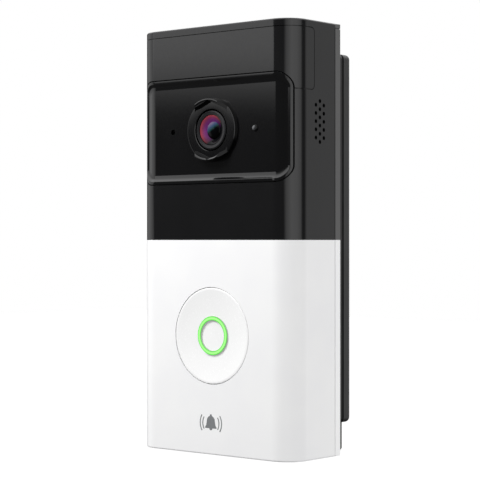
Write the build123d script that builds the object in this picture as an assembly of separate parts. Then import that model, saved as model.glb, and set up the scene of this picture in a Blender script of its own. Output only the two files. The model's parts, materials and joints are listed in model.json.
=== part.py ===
from build123d import *
import math
import os

# Video doorbell: a two-tone unit that hooks on a wall bracket.
# Frame: +Z up, the visitor's side toward -Y, the wall at y = 0, z = 0 at mid-height.
# Most places are given as a depth, measured back from the front face.

os.makedirs("parts", exist_ok=True)

# unit, outside
UNIT_HEIGHT = 125.0
UNIT_WIDTH = 59.4
UNIT_DEPTH = 23.3
TOTAL_DEPTH = 29.7
CORNER_RADIUS = 6.9
SKIN_WALL = 2.0
EDGE_ROUND = 0.5
RIM_START = 20.4
RIM_TAPER = 0.4
RIM_TOP = 61.3
RIM_GROOVE = 0.25
FIT_GAP = 0.1

# front chassis, gasket and rear housing
CHASSIS_WALL = 1.6
CHASSIS_BACK = 17.6
GASKET_THICKNESS = 1.0
REAR_PLATE_BACK = 23.2
REAR_PLATE = 1.6
BOSS_RADIUS = 2.6
HOUSING_SCREW_X = 23.2
HOUSING_SCREW_Z = (-54.5, -3.0, 54.5)

# smoked window at the top
WINDOW_LOW = 42.8
WINDOW_HIGH = 60.2
WINDOW_BACK = 10.4
WINDOW_THICKNESS = 0.9
WINDOW_GAP = 0.2

# camera bezel, a sunk plate that wraps round both front corners
BEZEL_WIDTH = 56.6
BEZEL_LOW = 16.5
BEZEL_HIGH = 47.5
BEZEL_CORNER = 4.5
BEZEL_BACK = 4.4
BEZEL_GAP = 0.2
BEZEL_THICKNESS = 2.0
RECESS_WIDTH = 55.2
RECESS_LOW = 17.35
RECESS_HIGH = 46.5
RECESS_CORNER = 4.0
RECESS_DEPTH = 0.8
FLOOR_LOW = 19.1
FLOOR_HIGH = 44.6
FLOOR_RADIUS = 9.7

# camera
LENS_Z = 32.0
HOOD_BASE_RADIUS = 9.75
HOOD_FACE_RADIUS = 9.25
HOOD_FACE = -0.75
BROW_FRONT = -2.1
BROW_OUTER = 9.15
BROW_CHAMFER = 0.25
BROW_SLOPE = 20.0
HOOD_BORE = 6.1
OCTAGON_RADIUS = 8.3
OCTAGON_SUNK = 0.15
BARREL_RADIUS = 5.65
BARREL_FRONT = -0.35
BARREL_BACK = 9.6
GLASS_RADIUS = 4.45
GLASS_FRONT = -0.2
APERTURE_RADIUS = 2.6
SIDE_EYE_X = 15.87
MIC_RADIUS = 0.8
EYE_RADIUS = 0.95
HOLDER_FRONT = 4.2
HOLDER_SHOULDER = 10.2
CAMERA_BOARD_FRONT = 13.7
BOARD_THICKNESS = 1.0
FILTER_TRAVEL = 6.4
FILTER_WINDOW = 5.4

# speaker and grille on the right side
GRILLE_CENTRE_DEPTH = 13.08
GRILLE_CENTRE_Z = 33.8
GRILLE_PITCH = 2.33
GRILLE_COLUMN = 1.85
GRILLE_HOLE = 0.575
SPEAKER_HEIGHT = 17.0
SPEAKER_WIDTH = 9.0

# bell button
BUTTON_Z = -27.87
BUTTON_HOLE = 14.17
BUTTON_RADIUS = 14.0
DISH_RADIUS = 13.35
DISH_SAG = 1.0
RING_OUTER = 5.75
RING_INNER = 4.41
RING_PROUD = 0.55
WELL_RADIUS = 16.0
BUTTON_BOARD_FRONT = 7.4

# main board
MAIN_BOARD_FRONT = 15.0
MAIN_BOARD_THICKNESS = 1.2
MAIN_BOARD_LOW = -47.5
MAIN_BOARD_HIGH = 16.0

# wiring terminals
TERMINAL_X = 6.0
TERMINAL_FLOOR = 18.9
TERMINAL_PLATE = 0.8

# wall bracket
BRACKET_INSET = 1.2
BRACKET_FRONT = 23.5
BRACKET_LOW = -53.35
BRACKET_HIGH = 54.26
BRACKET_WALL = 1.8
BRACKET_PLATE = 2.0
NECK_DEPTH = 2.6
NECK_INSET = 0.3
TONGUE_LOW = -62.0
TONGUE_THICKNESS = 1.9
TONGUE_INSET = 3.1
WALL_SCREW_Z = 40.0
WALL_SCREW_RADIUS = 2.25
WIRE_OPENING = (26.0, 34.0)
HOOK_X = 14.0
HOOK_WIDTH = 8.0
HOOK_AXIS_DEPTH = 22.6
HOOK_AXIS_Z = 52.0
BAR_ROUND = 0.25
HOOK_FRONT = 20.6
HOOK_LIP = 1.2
HOOK_TOP = 53.4
TONGUE_TOP = 51.7
TONGUE_BOTTOM = 50.1
HOOK_POCKET_FRONT = 19.5

# locking screw at the bottom
LOCK_DEPTH = 20.7
LOCK_SHANK = 1.25
LOCK_HEAD = 1.9
LOCK_REST = -62.4
FOOT_FRONT = 17.4
FOOT_WIDTH = 10.0
FOOT_HOLE = 1.6

HALF_HEIGHT = UNIT_HEIGHT / 2
HALF_WIDTH = UNIT_WIDTH / 2
REAR_FRONT = CHASSIS_BACK + GASKET_THICKNESS
REAR_PLATE_FRONT = REAR_PLATE_BACK - REAR_PLATE
CHASSIS_INSET = SKIN_WALL + FIT_GAP
CHASSIS_HALF_HEIGHT = HALF_HEIGHT - CHASSIS_INSET


def y_at(depth):
    return depth - TOTAL_DEPTH


def face_plane(depth, x=0.0, z=0.0):
    return Plane(origin=(x, y_at(depth), z), x_dir=(1, 0, 0), z_dir=(0, -1, 0))


def side_plane(x, depth=0.0, z=0.0):
    return Plane(origin=(x, y_at(depth), z), x_dir=(0, 1, 0), z_dir=(1, 0, 0))


def slab(sketch, front, back, x=0.0, z=0.0):
    return extrude(face_plane(back, x, z) * sketch, amount=back - front)


def disc(radius, front, back, x=0.0, z=0.0):
    return slab(Circle(radius), front, back, x, z)


def ring(outer, inner, front, back, x=0.0, z=0.0):
    return slab(Circle(outer) - Circle(inner), front, back, x, z)


def block(x_span, depth_span, z_span):
    size = (x_span[1] - x_span[0], depth_span[1] - depth_span[0], z_span[1] - z_span[0])
    centre = Pos(sum(x_span) / 2, y_at(sum(depth_span) / 2), sum(z_span) / 2)
    return centre * Box(*size)


def turned(points, x=0.0, z=0.0):
    # a section of (radius, depth) points turned about a front-to-back axis
    section = Polyline(*[(r, depth) for r, depth in points], close=True)
    face = make_face(Plane(origin=(x, y_at(0), z), x_dir=(1, 0, 0), z_dir=(0, 0, 1)) * section)
    return revolve(face, Axis((x, 0, z), (0, 1, 0)))


def plan(inset, back):
    # the unit's outline from above, with its two front corners rounded
    size = (UNIT_WIDTH - 2 * inset, back - inset)
    sheet = Pos(0, y_at((back + inset) / 2)) * Rectangle(*size)
    front_corners = sheet.vertices().group_by(Axis.Y)[0]
    return fillet(front_corners, CORNER_RADIUS - inset)


def column(inset, back, low, high):
    return extrude(Pos(0, 0, low) * plan(inset, back), amount=high - low)


def front_outline(width, low, high, corner, front, back):
    sketch = RectangleRounded(width, high - low, corner)
    return slab(sketch, front, back, z=(low + high) / 2)


def bezel_prism(grow, back):
    return front_outline(
        BEZEL_WIDTH + 2 * grow, BEZEL_LOW - grow, BEZEL_HIGH + grow, BEZEL_CORNER + grow, -1.0, back
    )


def window_band(grow, thickness):
    # the zone of the top window: the front and both sides, with rounded rear corners
    back = WINDOW_BACK + grow
    height = WINDOW_HIGH - WINDOW_LOW + 2 * grow
    sketch = Pos(y_at(back / 2 - 2), (WINDOW_LOW + WINDOW_HIGH) / 2) * RectangleRounded(
        back + 4, height, 1.2 + grow
    )
    band = extrude(Plane.YZ * sketch, amount=UNIT_WIDTH / 2 + 1, both=True)
    shell = column(-1.0, back + 1, WINDOW_LOW - 1, WINDOW_HIGH + 1)
    shell -= column(thickness, back + 2, WINDOW_LOW - 2, WINDOW_HIGH + 2)
    return band & shell


def rim_relief():
    # the tapered strip behind the side groove, with the groove and the line across its top
    relief = Part()
    for side in (-1, 1):
        outline = Polyline(
            (side * HALF_WIDTH, y_at(RIM_START)),
            (side * (HALF_WIDTH + 1), y_at(RIM_START)),
            (side * (HALF_WIDTH + 1), y_at(UNIT_DEPTH + 1)),
            (side * (HALF_WIDTH - RIM_TAPER), y_at(UNIT_DEPTH + 1)),
            (side * (HALF_WIDTH - RIM_TAPER), y_at(UNIT_DEPTH)),
            close=True,
        )
        strip = extrude(Pos(0, 0, -HALF_HEIGHT - 1) * make_face(outline), amount=UNIT_HEIGHT + 2)
        edge = (side * (HALF_WIDTH - 0.35), side * (HALF_WIDTH + 1))
        span = (min(edge), max(edge))
        groove = block(span, (RIM_START - RIM_GROOVE, RIM_START), (-HALF_HEIGHT - 1, RIM_TOP))
        inner = (side * (HALF_WIDTH - RIM_TAPER - 0.3), side * (HALF_WIDTH + 1))
        line = block((min(inner), max(inner)), (RIM_START, UNIT_DEPTH + 1), (RIM_TOP - 0.2, RIM_TOP))
        relief += [strip, groove, line]
    return relief


def skin(low, high):
    # half of the outer skin: closed at its far end, open at the back and at the colour seam
    solid = column(0, UNIT_DEPTH, low, high)
    end = high if high > 0 else low
    end_face = solid.faces().filter_by(Axis.Z).sort_by(Axis.Z)[-1 if high > 0 else 0]
    solid = fillet(end_face.edges().sort_by(Axis.Y)[:-1], EDGE_ROUND)
    inner = (low - 1, end - SKIN_WALL) if high > 0 else (end + SKIN_WALL, high + 1)
    solid -= column(SKIN_WALL, UNIT_DEPTH + 1, *inner)
    return solid - rim_relief()


def grille_places():
    # columns of 5, 6 and 5 holes on a triangular pitch, as (depth, z)
    places = []
    for column_index, count in ((-1, 5), (0, 6), (1, 5)):
        depth = GRILLE_CENTRE_DEPTH + column_index * GRILLE_COLUMN
        for row in range(count):
            places.append((depth, GRILLE_CENTRE_Z + (row - (count - 1) / 2) * GRILLE_PITCH))
    return places


def led_places():
    return [(x, 53.5) for x in (-18.0, -10.0, 10.0, 18.0)]


def upper_housing():
    solid = skin(0, HALF_HEIGHT)
    solid -= window_band(WINDOW_GAP, WINDOW_THICKNESS)
    solid -= bezel_prism(BEZEL_GAP, BEZEL_BACK + 0.2)
    for depth, z in grille_places():
        solid -= extrude(side_plane(HALF_WIDTH - SKIN_WALL - 1, depth, z) * Circle(GRILLE_HOLE), amount=4)
    for x, z in led_places():
        solid -= disc(2.3, 0, SKIN_WALL + 1, x, z)
    return solid


def lower_faceplate():
    solid = skin(-HALF_HEIGHT, 0)
    solid -= disc(BUTTON_HOLE, -1, SKIN_WALL + 1, z=BUTTON_Z)
    solid -= Pos(0, y_at(LOCK_DEPTH), -HALF_HEIGHT) * Cylinder(LOCK_HEAD + 0.2, 6)
    return solid


def top_window():
    band = window_band(0, WINDOW_THICKNESS) & column(0, UNIT_DEPTH, 0, HALF_HEIGHT)
    return band - bezel_prism(BEZEL_GAP, UNIT_DEPTH)


def recess_cutter():
    # sloped above and below down to the floor's depth, and straight behind that
    lead = 0.5
    low = RECESS_LOW - (FLOOR_LOW - RECESS_LOW) * lead / RECESS_DEPTH
    high = RECESS_HIGH + (RECESS_HIGH - FLOOR_HIGH) * lead / RECESS_DEPTH
    mouth = RectangleRounded(RECESS_WIDTH, high - low, RECESS_CORNER)
    throat = RectangleRounded(RECESS_WIDTH, FLOOR_HIGH - FLOOR_LOW, RECESS_CORNER)
    middle = (FLOOR_LOW + FLOOR_HIGH) / 2
    sections = [
        face_plane(RECESS_DEPTH, z=middle) * throat,
        face_plane(-lead, z=(low + high) / 2) * mouth,
    ]
    return loft(sections, ruled=True) + slab(throat, RECESS_DEPTH, BEZEL_BACK, z=middle)


def recess_floor():
    # the floor turns the front corners more gently than the skin, so the recess runs out at its sides
    half_width = HALF_WIDTH - CORNER_RADIUS + FLOOR_RADIUS
    sheet = Pos(0, y_at((UNIT_DEPTH + RECESS_DEPTH) / 2)) * Rectangle(
        2 * half_width, UNIT_DEPTH - RECESS_DEPTH
    )
    outline = fillet(sheet.vertices().group_by(Axis.Y)[0], FLOOR_RADIUS)
    return extrude(Pos(0, 0, BEZEL_LOW - 1) * outline, amount=BEZEL_HIGH - BEZEL_LOW + 2)


def camera_bezel():
    shell = column(0, UNIT_DEPTH, BEZEL_LOW - 1, BEZEL_HIGH + 1)
    shell -= column(BEZEL_THICKNESS, UNIT_DEPTH + 1, BEZEL_LOW - 2, BEZEL_HIGH + 2)
    plate = shell & bezel_prism(0, BEZEL_BACK)
    plate -= recess_cutter() - recess_floor()
    plate -= disc(HOOD_BORE + 0.95, -1, 3, z=LENS_Z)
    plate -= disc(MIC_RADIUS, -1, 3, -SIDE_EYE_X, LENS_Z)
    plate -= disc(EYE_RADIUS, -1, 3, SIDE_EYE_X, LENS_Z)
    return plate


def lens_hood():
    # a shallow cone on the bezel floor, a sunk octagonal face, and a brow above and below
    spigot = HOOD_BORE + 0.9
    solid = turned(
        (
            (HOOD_BORE, HOOD_FACE),
            (HOOD_FACE_RADIUS, HOOD_FACE),
            (HOOD_BASE_RADIUS, RECESS_DEPTH),
            (spigot, RECESS_DEPTH),
            (spigot, SKIN_WALL),
            (HOOD_BORE, SKIN_WALL),
        ),
        z=LENS_Z,
    )
    brow = turned(
        (
            (spigot, HOOD_FACE),
            (spigot, BROW_FRONT),
            (BROW_OUTER - BROW_CHAMFER, BROW_FRONT),
            (BROW_OUTER, BROW_FRONT + BROW_CHAMFER),
            (HOOD_FACE_RADIUS, HOOD_FACE),
        ),
        z=LENS_Z,
    )
    # each brow runs 45 degrees to either side of the middle
    reach = 12.0
    for side in (-1, 1):
        wedge = Polyline((0, 0), (side * reach, reach), (side * reach, -reach), close=True)
        brow -= slab(make_face(wedge), BROW_FRONT - 1, HOOD_FACE, z=LENS_Z)
    solid += brow
    # the brows' inner walls are flats that lean outward from the octagon
    floor = HOOD_FACE + OCTAGON_SUNK
    octagon = face_plane(floor, z=LENS_Z) * RegularPolygon(OCTAGON_RADIUS, 8)
    return solid - extrude(octagon, amount=floor - BROW_FRONT + 0.5, taper=-BROW_SLOPE)


def lens_barrel():
    return turned(
        (
            (GLASS_RADIUS + 0.05, GLASS_FRONT),
            (BARREL_RADIUS - 0.35, BARREL_FRONT),
            (BARREL_RADIUS, BARREL_FRONT + 0.2),
            (BARREL_RADIUS, BARREL_BACK),
            (4.1, BARREL_BACK),
            (4.1, 3.2),
            (GLASS_RADIUS + 0.05, 3.2),
        ),
        z=LENS_Z,
    )


def lens_element(radius, front, back, front_sag, back_sag):
    # a round lens; a positive sag bulges outward from the rim
    def cap(sag, depth, direction):
        if sag == 0:
            return None
        sphere_radius = (radius**2 + sag**2) / (2 * abs(sag))
        centre_depth = depth + direction * (sphere_radius - abs(sag)) * (1 if sag > 0 else -1)
        return Pos(0, y_at(centre_depth), LENS_Z) * Sphere(sphere_radius)

    solid = disc(radius, front - max(front_sag, 0), back + max(back_sag, 0), z=LENS_Z)
    for sag, depth, direction in ((front_sag, front, 1), (back_sag, back, -1)):
        ball = cap(sag, depth, direction)
        if ball is not None:
            solid = solid & ball if sag > 0 else solid - ball
    return solid


def lens_front_element():
    return lens_element(GLASS_RADIUS, GLASS_FRONT + 0.15, 2.2, 0.35, -0.5)


def lens_spacer():
    return ring(GLASS_RADIUS, APERTURE_RADIUS, 2.2, 3.2, z=LENS_Z)


def lens_second_element():
    return lens_element(4.05, 3.2, 5.2, -0.4, -0.3)


def lens_rear_spacer():
    return ring(4.05, 3.2, 5.2, 6.8, z=LENS_Z)


def lens_rear_element():
    return lens_element(4.05, 6.8, 8.2, 0, 0.4)


def lens_retaining_ring():
    return ring(4.05, 3.1, 8.65, BARREL_BACK, z=LENS_Z)


def lens_holder():
    solid = ring(7.6, BARREL_RADIUS + 0.05, HOLDER_FRONT, HOLDER_SHOULDER, z=LENS_Z)
    base = block((-11, 11), (HOLDER_SHOULDER, CAMERA_BOARD_FRONT), (LENS_Z - 7, LENS_Z + 7))
    base -= disc(3.6, 8, CAMERA_BOARD_FRONT, z=LENS_Z)
    base -= block((-10.2, 10.2), (10.8, 12.2), (LENS_Z - 4.1, LENS_Z + 4.1))
    base -= block((-4.4, 4.4), (10.8, 12.2), (LENS_Z + 4, LENS_Z + 8))
    base -= block((-4.6, 4.6), (12.2, CAMERA_BOARD_FRONT), (LENS_Z - 4.1, LENS_Z + 4.1))
    return solid + base


def filter_slider():
    # day position: its first window is on the lens axis
    middle = FILTER_TRAVEL / 2
    solid = block((middle - 6.6, middle + 6.6), (10.95, 12.05), (LENS_Z - 3.8, LENS_Z + 3.8))
    for x in (0, FILTER_TRAVEL):
        half = FILTER_WINDOW / 2 + 0.02
        solid -= block((x - half, x + half), (10, 13), (LENS_Z - half, LENS_Z + half))
    tab = block((middle - 0.9, middle + 0.9), (10.95, 12.05), (LENS_Z + 3.8, LENS_Z + 8.2))
    return solid + tab


def filter_glass(x):
    half = FILTER_WINDOW / 2
    return block((x - half, x + half), (11.25, 11.75), (LENS_Z - half, LENS_Z + half))


def slider_magnet():
    middle = FILTER_TRAVEL / 2
    return block((middle - 1.2, middle + 1.2), (10.4, 12.6), (LENS_Z + 8.2, LENS_Z + 10.0))


def ir_cut_coil():
    # the flat printed coil above the magnet's path
    return block((-5.4, 5.4), (10.2, CAMERA_BOARD_FRONT), (LENS_Z + 10.3, LENS_Z + 10.9))


def image_sensor():
    return block((-3.9, 3.9), (12.8, CAMERA_BOARD_FRONT), (LENS_Z - 3.2, LENS_Z + 3.2))


def camera_post_places():
    return [(x, LENS_Z + z) for x in (-12.6, 12.6) for z in (-8.6, 8.6)]


def camera_board():
    back = CAMERA_BOARD_FRONT + BOARD_THICKNESS
    solid = slab(RectangleRounded(30, 22, 1.5), CAMERA_BOARD_FRONT, back, z=LENS_Z)
    for x, z in camera_post_places():
        solid -= disc(1.1, 13, 15, x, z)
    return solid


def sensor_flex():
    # a flexible strip that carries the microphone and the light sensor past the lens
    sketch = RectangleRounded(40, 6, 1.5) + Circle(10.2)
    return slab(sketch - Circle(7.8), 6.0, 6.3, z=LENS_Z)


def microphone():
    return slab(Rectangle(3.5, 2.7), 5.0, 6.0, -SIDE_EYE_X, LENS_Z) - disc(0.3, 4.9, 5.3, -SIDE_EYE_X, LENS_Z)


def mic_gasket():
    return ring(2.0, MIC_RADIUS, CHASSIS_INSET + CHASSIS_WALL, 5.0, -SIDE_EYE_X, LENS_Z)


def light_pipe():
    # its domed end stands slightly proud of the bezel floor
    shaft = disc(EYE_RADIUS - 0.03, RECESS_DEPTH, 5.1, SIDE_EYE_X, LENS_Z)
    dome = Pos(SIDE_EYE_X, y_at(RECESS_DEPTH), LENS_Z) * Sphere(EYE_RADIUS - 0.03)
    dome = dome & disc(2, RECESS_DEPTH - 0.45, RECESS_DEPTH, SIDE_EYE_X, LENS_Z)
    flange = disc(1.6, CHASSIS_INSET + CHASSIS_WALL, 4.3, SIDE_EYE_X, LENS_Z)
    return shaft + dome + flange


def light_sensor():
    return slab(Rectangle(2.4, 2.0), 5.3, 6.0, SIDE_EYE_X, LENS_Z)


def board_screw(front, back, x, z):
    # head behind the board, shank toward the front
    head = disc(1.9, back, back + 1.1, x, z)
    slot = slab(Rectangle(2.4, 0.5), back + 0.6, back + 1.2, x, z)
    slot += slab(Rectangle(0.5, 2.4), back + 0.6, back + 1.2, x, z)
    return disc(1.0, front, back, x, z) + head - slot


def board_screws():
    back = CAMERA_BOARD_FRONT + BOARD_THICKNESS
    screws = [board_screw(9.5, back, x, z) for x, z in camera_post_places()]
    main_back = MAIN_BOARD_FRONT + MAIN_BOARD_THICKNESS
    screws += [board_screw(11.0, main_back, x, z) for x, z in main_post_places()]
    button_back = BUTTON_BOARD_FRONT + BOARD_THICKNESS
    screws += [board_screw(5.4, button_back, x, z) for x, z in button_screw_places()]
    return Compound(children=[s.solid() for s in screws])


def main_post_places():
    return [(-19.0, 12.5), (19.0, 12.5), (-20.5, -43.5), (20.5, -43.5)]


def button_screw_places():
    reach = WELL_RADIUS + 2.6
    angles = (35, 145, 215, 325)
    return [
        (reach * math.cos(math.radians(a)), BUTTON_Z + reach * math.sin(math.radians(a))) for a in angles
    ]


def main_board():
    height = MAIN_BOARD_HIGH - MAIN_BOARD_LOW
    middle = (MAIN_BOARD_HIGH + MAIN_BOARD_LOW) / 2
    back = MAIN_BOARD_FRONT + MAIN_BOARD_THICKNESS
    solid = slab(RectangleRounded(50, height, 2), MAIN_BOARD_FRONT, back, z=middle)
    for side in (-1, 1):
        solid -= disc(BOSS_RADIUS + 0.6, 14, 17, side * HOUSING_SCREW_X, HOUSING_SCREW_Z[1])
        edge = sorted((side * HOUSING_SCREW_X, side * (HOUSING_SCREW_X + 5)))
        reach = BOSS_RADIUS + 0.6
        solid -= block(edge, (14, 17), (HOUSING_SCREW_Z[1] - reach, HOUSING_SCREW_Z[1] + reach))
    for x, z in main_post_places():
        solid -= disc(1.1, 14, 17, x, z)
    return solid


def rf_shield():
    solid = block((-13, 9), (12.6, MAIN_BOARD_FRONT), (-8, 12))
    return solid - block((-12.8, 8.8), (12.8, MAIN_BOARD_FRONT + 1), (-7.8, 11.8))


def processor():
    return block((-8, 4), (13.6, MAIN_BOARD_FRONT), (-4, 8))


def power_components():
    capacitor = extrude(side_plane(-12.5, 12.0, -41.0) * Circle(2.9), amount=12)
    capacitor += block((-10, -3), (14.2, MAIN_BOARD_FRONT), (-43, -39))
    inductor = block((6, 13), (11.8, MAIN_BOARD_FRONT), (-44, -37))
    rectifier = block((15.5, 20), (12.8, MAIN_BOARD_FRONT), (-37, -32.5))
    fuse = block((-20, -14), (12.6, MAIN_BOARD_FRONT), (-33, -30))
    return Compound(children=[s.solid() for s in (capacitor, inductor, rectifier, fuse)])


def board_connectors():
    camera_back = CAMERA_BOARD_FRONT + BOARD_THICKNESS
    main_back = MAIN_BOARD_FRONT + MAIN_BOARD_THICKNESS
    upper = block((-6, 6), (camera_back, camera_back + 1.2), (23.5, 27))
    lower = block((-6, 6), (main_back, main_back + 1.2), (9.5, 13))
    return Compound(children=[upper.solid(), lower.solid()])


def ribbon_cable():
    # a flat cable from the camera board's connector down to the main board's
    thickness = 0.2
    start = CAMERA_BOARD_FRONT + BOARD_THICKNESS + 0.5
    end = MAIN_BOARD_FRONT + MAIN_BOARD_THICKNESS + 0.5
    outline = Polyline(
        (y_at(start), 23.5),
        (y_at(start), 20.5),
        (y_at(end), 16.2),
        (y_at(end), 13.0),
        (y_at(end + thickness), 13.0),
        (y_at(end + thickness), 16.25),
        (y_at(start + thickness), 20.55),
        (y_at(start + thickness), 23.5),
        close=True,
    )
    return extrude(Plane.YZ * make_face(outline), amount=5, both=True)


def wifi_antenna():
    # a foil antenna stuck to the left wall, with its tail folded on the main board
    wall = HALF_WIDTH - CHASSIS_INSET - CHASSIS_WALL
    strip = block((-wall, -wall + 0.25), (7.0, 13.0), (4, 44))
    tail = block((-wall, -wall + 0.25), (12.9, MAIN_BOARD_FRONT), (4, 8))
    return strip + tail + block((-wall, -wall + 3.5), (MAIN_BOARD_FRONT - 0.25, MAIN_BOARD_FRONT), (4, 8))


def ir_led_board():
    solid = slab(RectangleRounded(46, 9, 1.5), 7.0, 8.0, z=53.5)
    for side in (-1, 1):
        notch = BOSS_RADIUS + 0.5
        solid -= disc(notch, 6, 9, side * HOUSING_SCREW_X, HOUSING_SCREW_Z[2])
    return solid


def ir_leds():
    leds = []
    for x, z in led_places():
        body = disc(1.9, 4.6, 7.0, x, z)
        dome = Pos(x, y_at(4.6), z) * Sphere(1.5)
        leds.append((body + dome).solid())
    return Compound(children=leds)


def speaker_front():
    # where the speaker's face meets its gasket
    return HALF_WIDTH - CHASSIS_INSET - CHASSIS_WALL


def speaker_outline(margin):
    size = (SPEAKER_WIDTH + 2 * margin, SPEAKER_HEIGHT + 2 * margin)
    return RectangleRounded(*size, max(2.0 + margin, 0.5))


def speaker_slab(margin, x_low, x_high):
    plane = side_plane(x_low, GRILLE_CENTRE_DEPTH, GRILLE_CENTRE_Z)
    return extrude(plane * speaker_outline(margin), amount=x_high - x_low)


def speaker_frame():
    face = speaker_front()
    solid = speaker_slab(0, face - 4.6, face)
    solid -= speaker_slab(-0.9, face - 2.4, face + 1)
    solid -= speaker_slab(-2.0, face - 5, face)
    return solid


def speaker_magnet():
    face = speaker_front()
    return speaker_slab(-2.0, face - 4.6, face - 3.4)


def speaker_cone():
    face = speaker_front()
    sheet = speaker_slab(-1.2, face - 1.4, face - 1.1)
    dome = speaker_slab(-3.0, face - 1.7, face - 1.1) - speaker_slab(-3.3, face - 1.4, face - 1.0)
    coil = speaker_slab(-2.6, face - 2.8, face - 1.4) - speaker_slab(-2.9, face - 2.9, face - 1.4)
    return sheet + dome + coil


def speaker_gasket():
    face = speaker_front()
    return speaker_slab(-0.1, face, face + 1.2) - speaker_slab(-1.3, face - 1, face + 2)


def grille_mesh():
    face = speaker_front()
    return speaker_slab(-0.1, face + 1.2, face + 1.4)


def button_cap():
    # a shallow dish with a plain rim, a skirt, a keeper flange and a middle post
    sphere_radius = (DISH_RADIUS**2 + DISH_SAG**2) / (2 * DISH_SAG)
    solid = disc(BUTTON_RADIUS, 0, 2.9, z=BUTTON_Z)
    solid += disc(15.2, 2.15, 2.9, z=BUTTON_Z)
    rim = solid.faces().sort_by(Axis.Y)[0].edges()
    solid = fillet(rim, 0.25)
    ball = Pos(0, y_at(DISH_SAG - sphere_radius), BUTTON_Z) * Sphere(sphere_radius)
    solid -= ball
    solid -= ring(RING_OUTER, RING_INNER, -1, 4, z=BUTTON_Z)
    solid = solid.solids().sort_by(SortBy.VOLUME)[-1]
    return solid


def button_light_ring():
    # a clear pipe with a rounded end that stands proud of the dish
    middle = (RING_OUTER + RING_INNER) / 2
    half = (RING_OUTER - RING_INNER) / 2
    front = DISH_SAG - RING_PROUD + half * 0.45
    tube = ring(RING_OUTER, RING_INNER, front, 4.0, z=BUTTON_Z)
    section = Pos(middle, y_at(front)) * Circle(half)
    bead = revolve(Pos(0, 0, BUTTON_Z) * section, Axis((0, 0, BUTTON_Z), (0, 1, 0)))
    flat = disc(RING_OUTER + 1, front - half * 0.55, 4.0, z=BUTTON_Z)
    foot = ring(RING_OUTER + 1.2, RING_INNER, 2.9, 4.0, z=BUTTON_Z)
    return tube + (bead & flat) + foot


def button_centre():
    disc_front = DISH_SAG - 0.1
    solid = disc(RING_INNER, disc_front, 2.9, z=BUTTON_Z)
    return solid + disc(2.4, 2.9, 4.2, z=BUTTON_Z)


def switch_plunger():
    return disc(1.7, 4.2, 5.9, z=BUTTON_Z)


def switch_body():
    solid = slab(Rectangle(6.2, 6.2), 4.95, BUTTON_BOARD_FRONT, z=BUTTON_Z)
    return solid - disc(1.78, 4.5, 6.6, z=BUTTON_Z)


def ring_leds():
    leds = []
    for index in range(8):
        angle = math.radians(22.5 + 45 * index)
        radius = (RING_OUTER + RING_INNER) / 2 + 0.6
        x = radius * math.cos(angle)
        z = BUTTON_Z + radius * math.sin(angle)
        leds.append(slab(Rectangle(1.0, 1.0), 6.7, BUTTON_BOARD_FRONT, x, z).solid())
    return Compound(children=leds)


def button_board():
    back = BUTTON_BOARD_FRONT + BOARD_THICKNESS
    solid = disc(WELL_RADIUS + 1.4, BUTTON_BOARD_FRONT, back, z=BUTTON_Z)
    for x, z in button_screw_places():
        ear = disc(2.4, BUTTON_BOARD_FRONT, back, x, z)
        solid += ear
        solid -= disc(1.1, 6, 10, x, z)
    return solid


def button_seal():
    # a soft ring that the keeper flange closes on at full travel
    return ring(WELL_RADIUS - 0.05, 12.6, 3.5, 4.6, z=BUTTON_Z)


def chassis_shell():
    low = -CHASSIS_HALF_HEIGHT
    high = CHASSIS_HALF_HEIGHT
    inner = CHASSIS_INSET + CHASSIS_WALL
    solid = column(CHASSIS_INSET, CHASSIS_BACK, low, high)
    return solid - column(inner, CHASSIS_BACK + 1, low + CHASSIS_WALL, high - CHASSIS_WALL)


def front_chassis():
    solid = chassis_shell()
    floor = CHASSIS_INSET + CHASSIS_WALL
    # clear of the bezel's swept edges
    solid -= bezel_prism(0.2, BEZEL_BACK + 0.2) - column(CHASSIS_INSET, UNIT_DEPTH, 0, HALF_HEIGHT)
    # button well with a ledge for the seal
    solid += ring(WELL_RADIUS + 1.4, WELL_RADIUS, floor - 0.1, BUTTON_BOARD_FRONT, z=BUTTON_Z)
    solid -= disc(WELL_RADIUS, 0, 4.6, z=BUTTON_Z)
    solid += ring(WELL_RADIUS + 0.1, 13.2, 4.6, 5.4, z=BUTTON_Z)
    for x, z in button_screw_places():
        solid += disc(2.0, floor - 0.1, BUTTON_BOARD_FRONT, x, z) - disc(WELL_RADIUS, 0, 12, z=BUTTON_Z)
        solid -= disc(1.02, 5.2, BUTTON_BOARD_FRONT + 1, x, z)
    # posts for the boards
    for x, z in camera_post_places():
        solid += ring(1.7, 1.02, floor - 0.1, CAMERA_BOARD_FRONT, x, z)
    for x, z in main_post_places():
        solid += ring(2.0, 1.02, floor - 0.1, MAIN_BOARD_FRONT, x, z)
    for side in (-1, 1):
        solid += block(sorted((side * 19.4, side * 22.0)), (floor - 0.1, 7.0), (49.5, 51.5))
    # bosses for the housing screws
    for x in (-HOUSING_SCREW_X, HOUSING_SCREW_X):
        for z in HOUSING_SCREW_Z:
            solid += disc(BOSS_RADIUS, floor - 0.1, CHASSIS_BACK, x, z)
            solid -= disc(1.02, 10.5, CHASSIS_BACK + 1, x, z)
    # openings in the front wall
    solid -= disc(7.8, 0, 5, z=LENS_Z)
    solid -= disc(MIC_RADIUS, 0, 5, -SIDE_EYE_X, LENS_Z)
    solid -= disc(EYE_RADIUS, 0, 5, SIDE_EYE_X, LENS_Z)
    for x, z in led_places():
        solid -= disc(2.3, 0, 5, x, z)
    # speaker window and the shelf round it
    face = speaker_front()
    shelf = speaker_slab(0.9, face - 3.0, face) - speaker_slab(0.03, face - 6, face + 1)
    solid += shelf & column(CHASSIS_INSET, CHASSIS_BACK, -CHASSIS_HALF_HEIGHT, CHASSIS_HALF_HEIGHT)
    solid -= speaker_slab(-0.07, face - 1, face + 4)
    return solid


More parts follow.
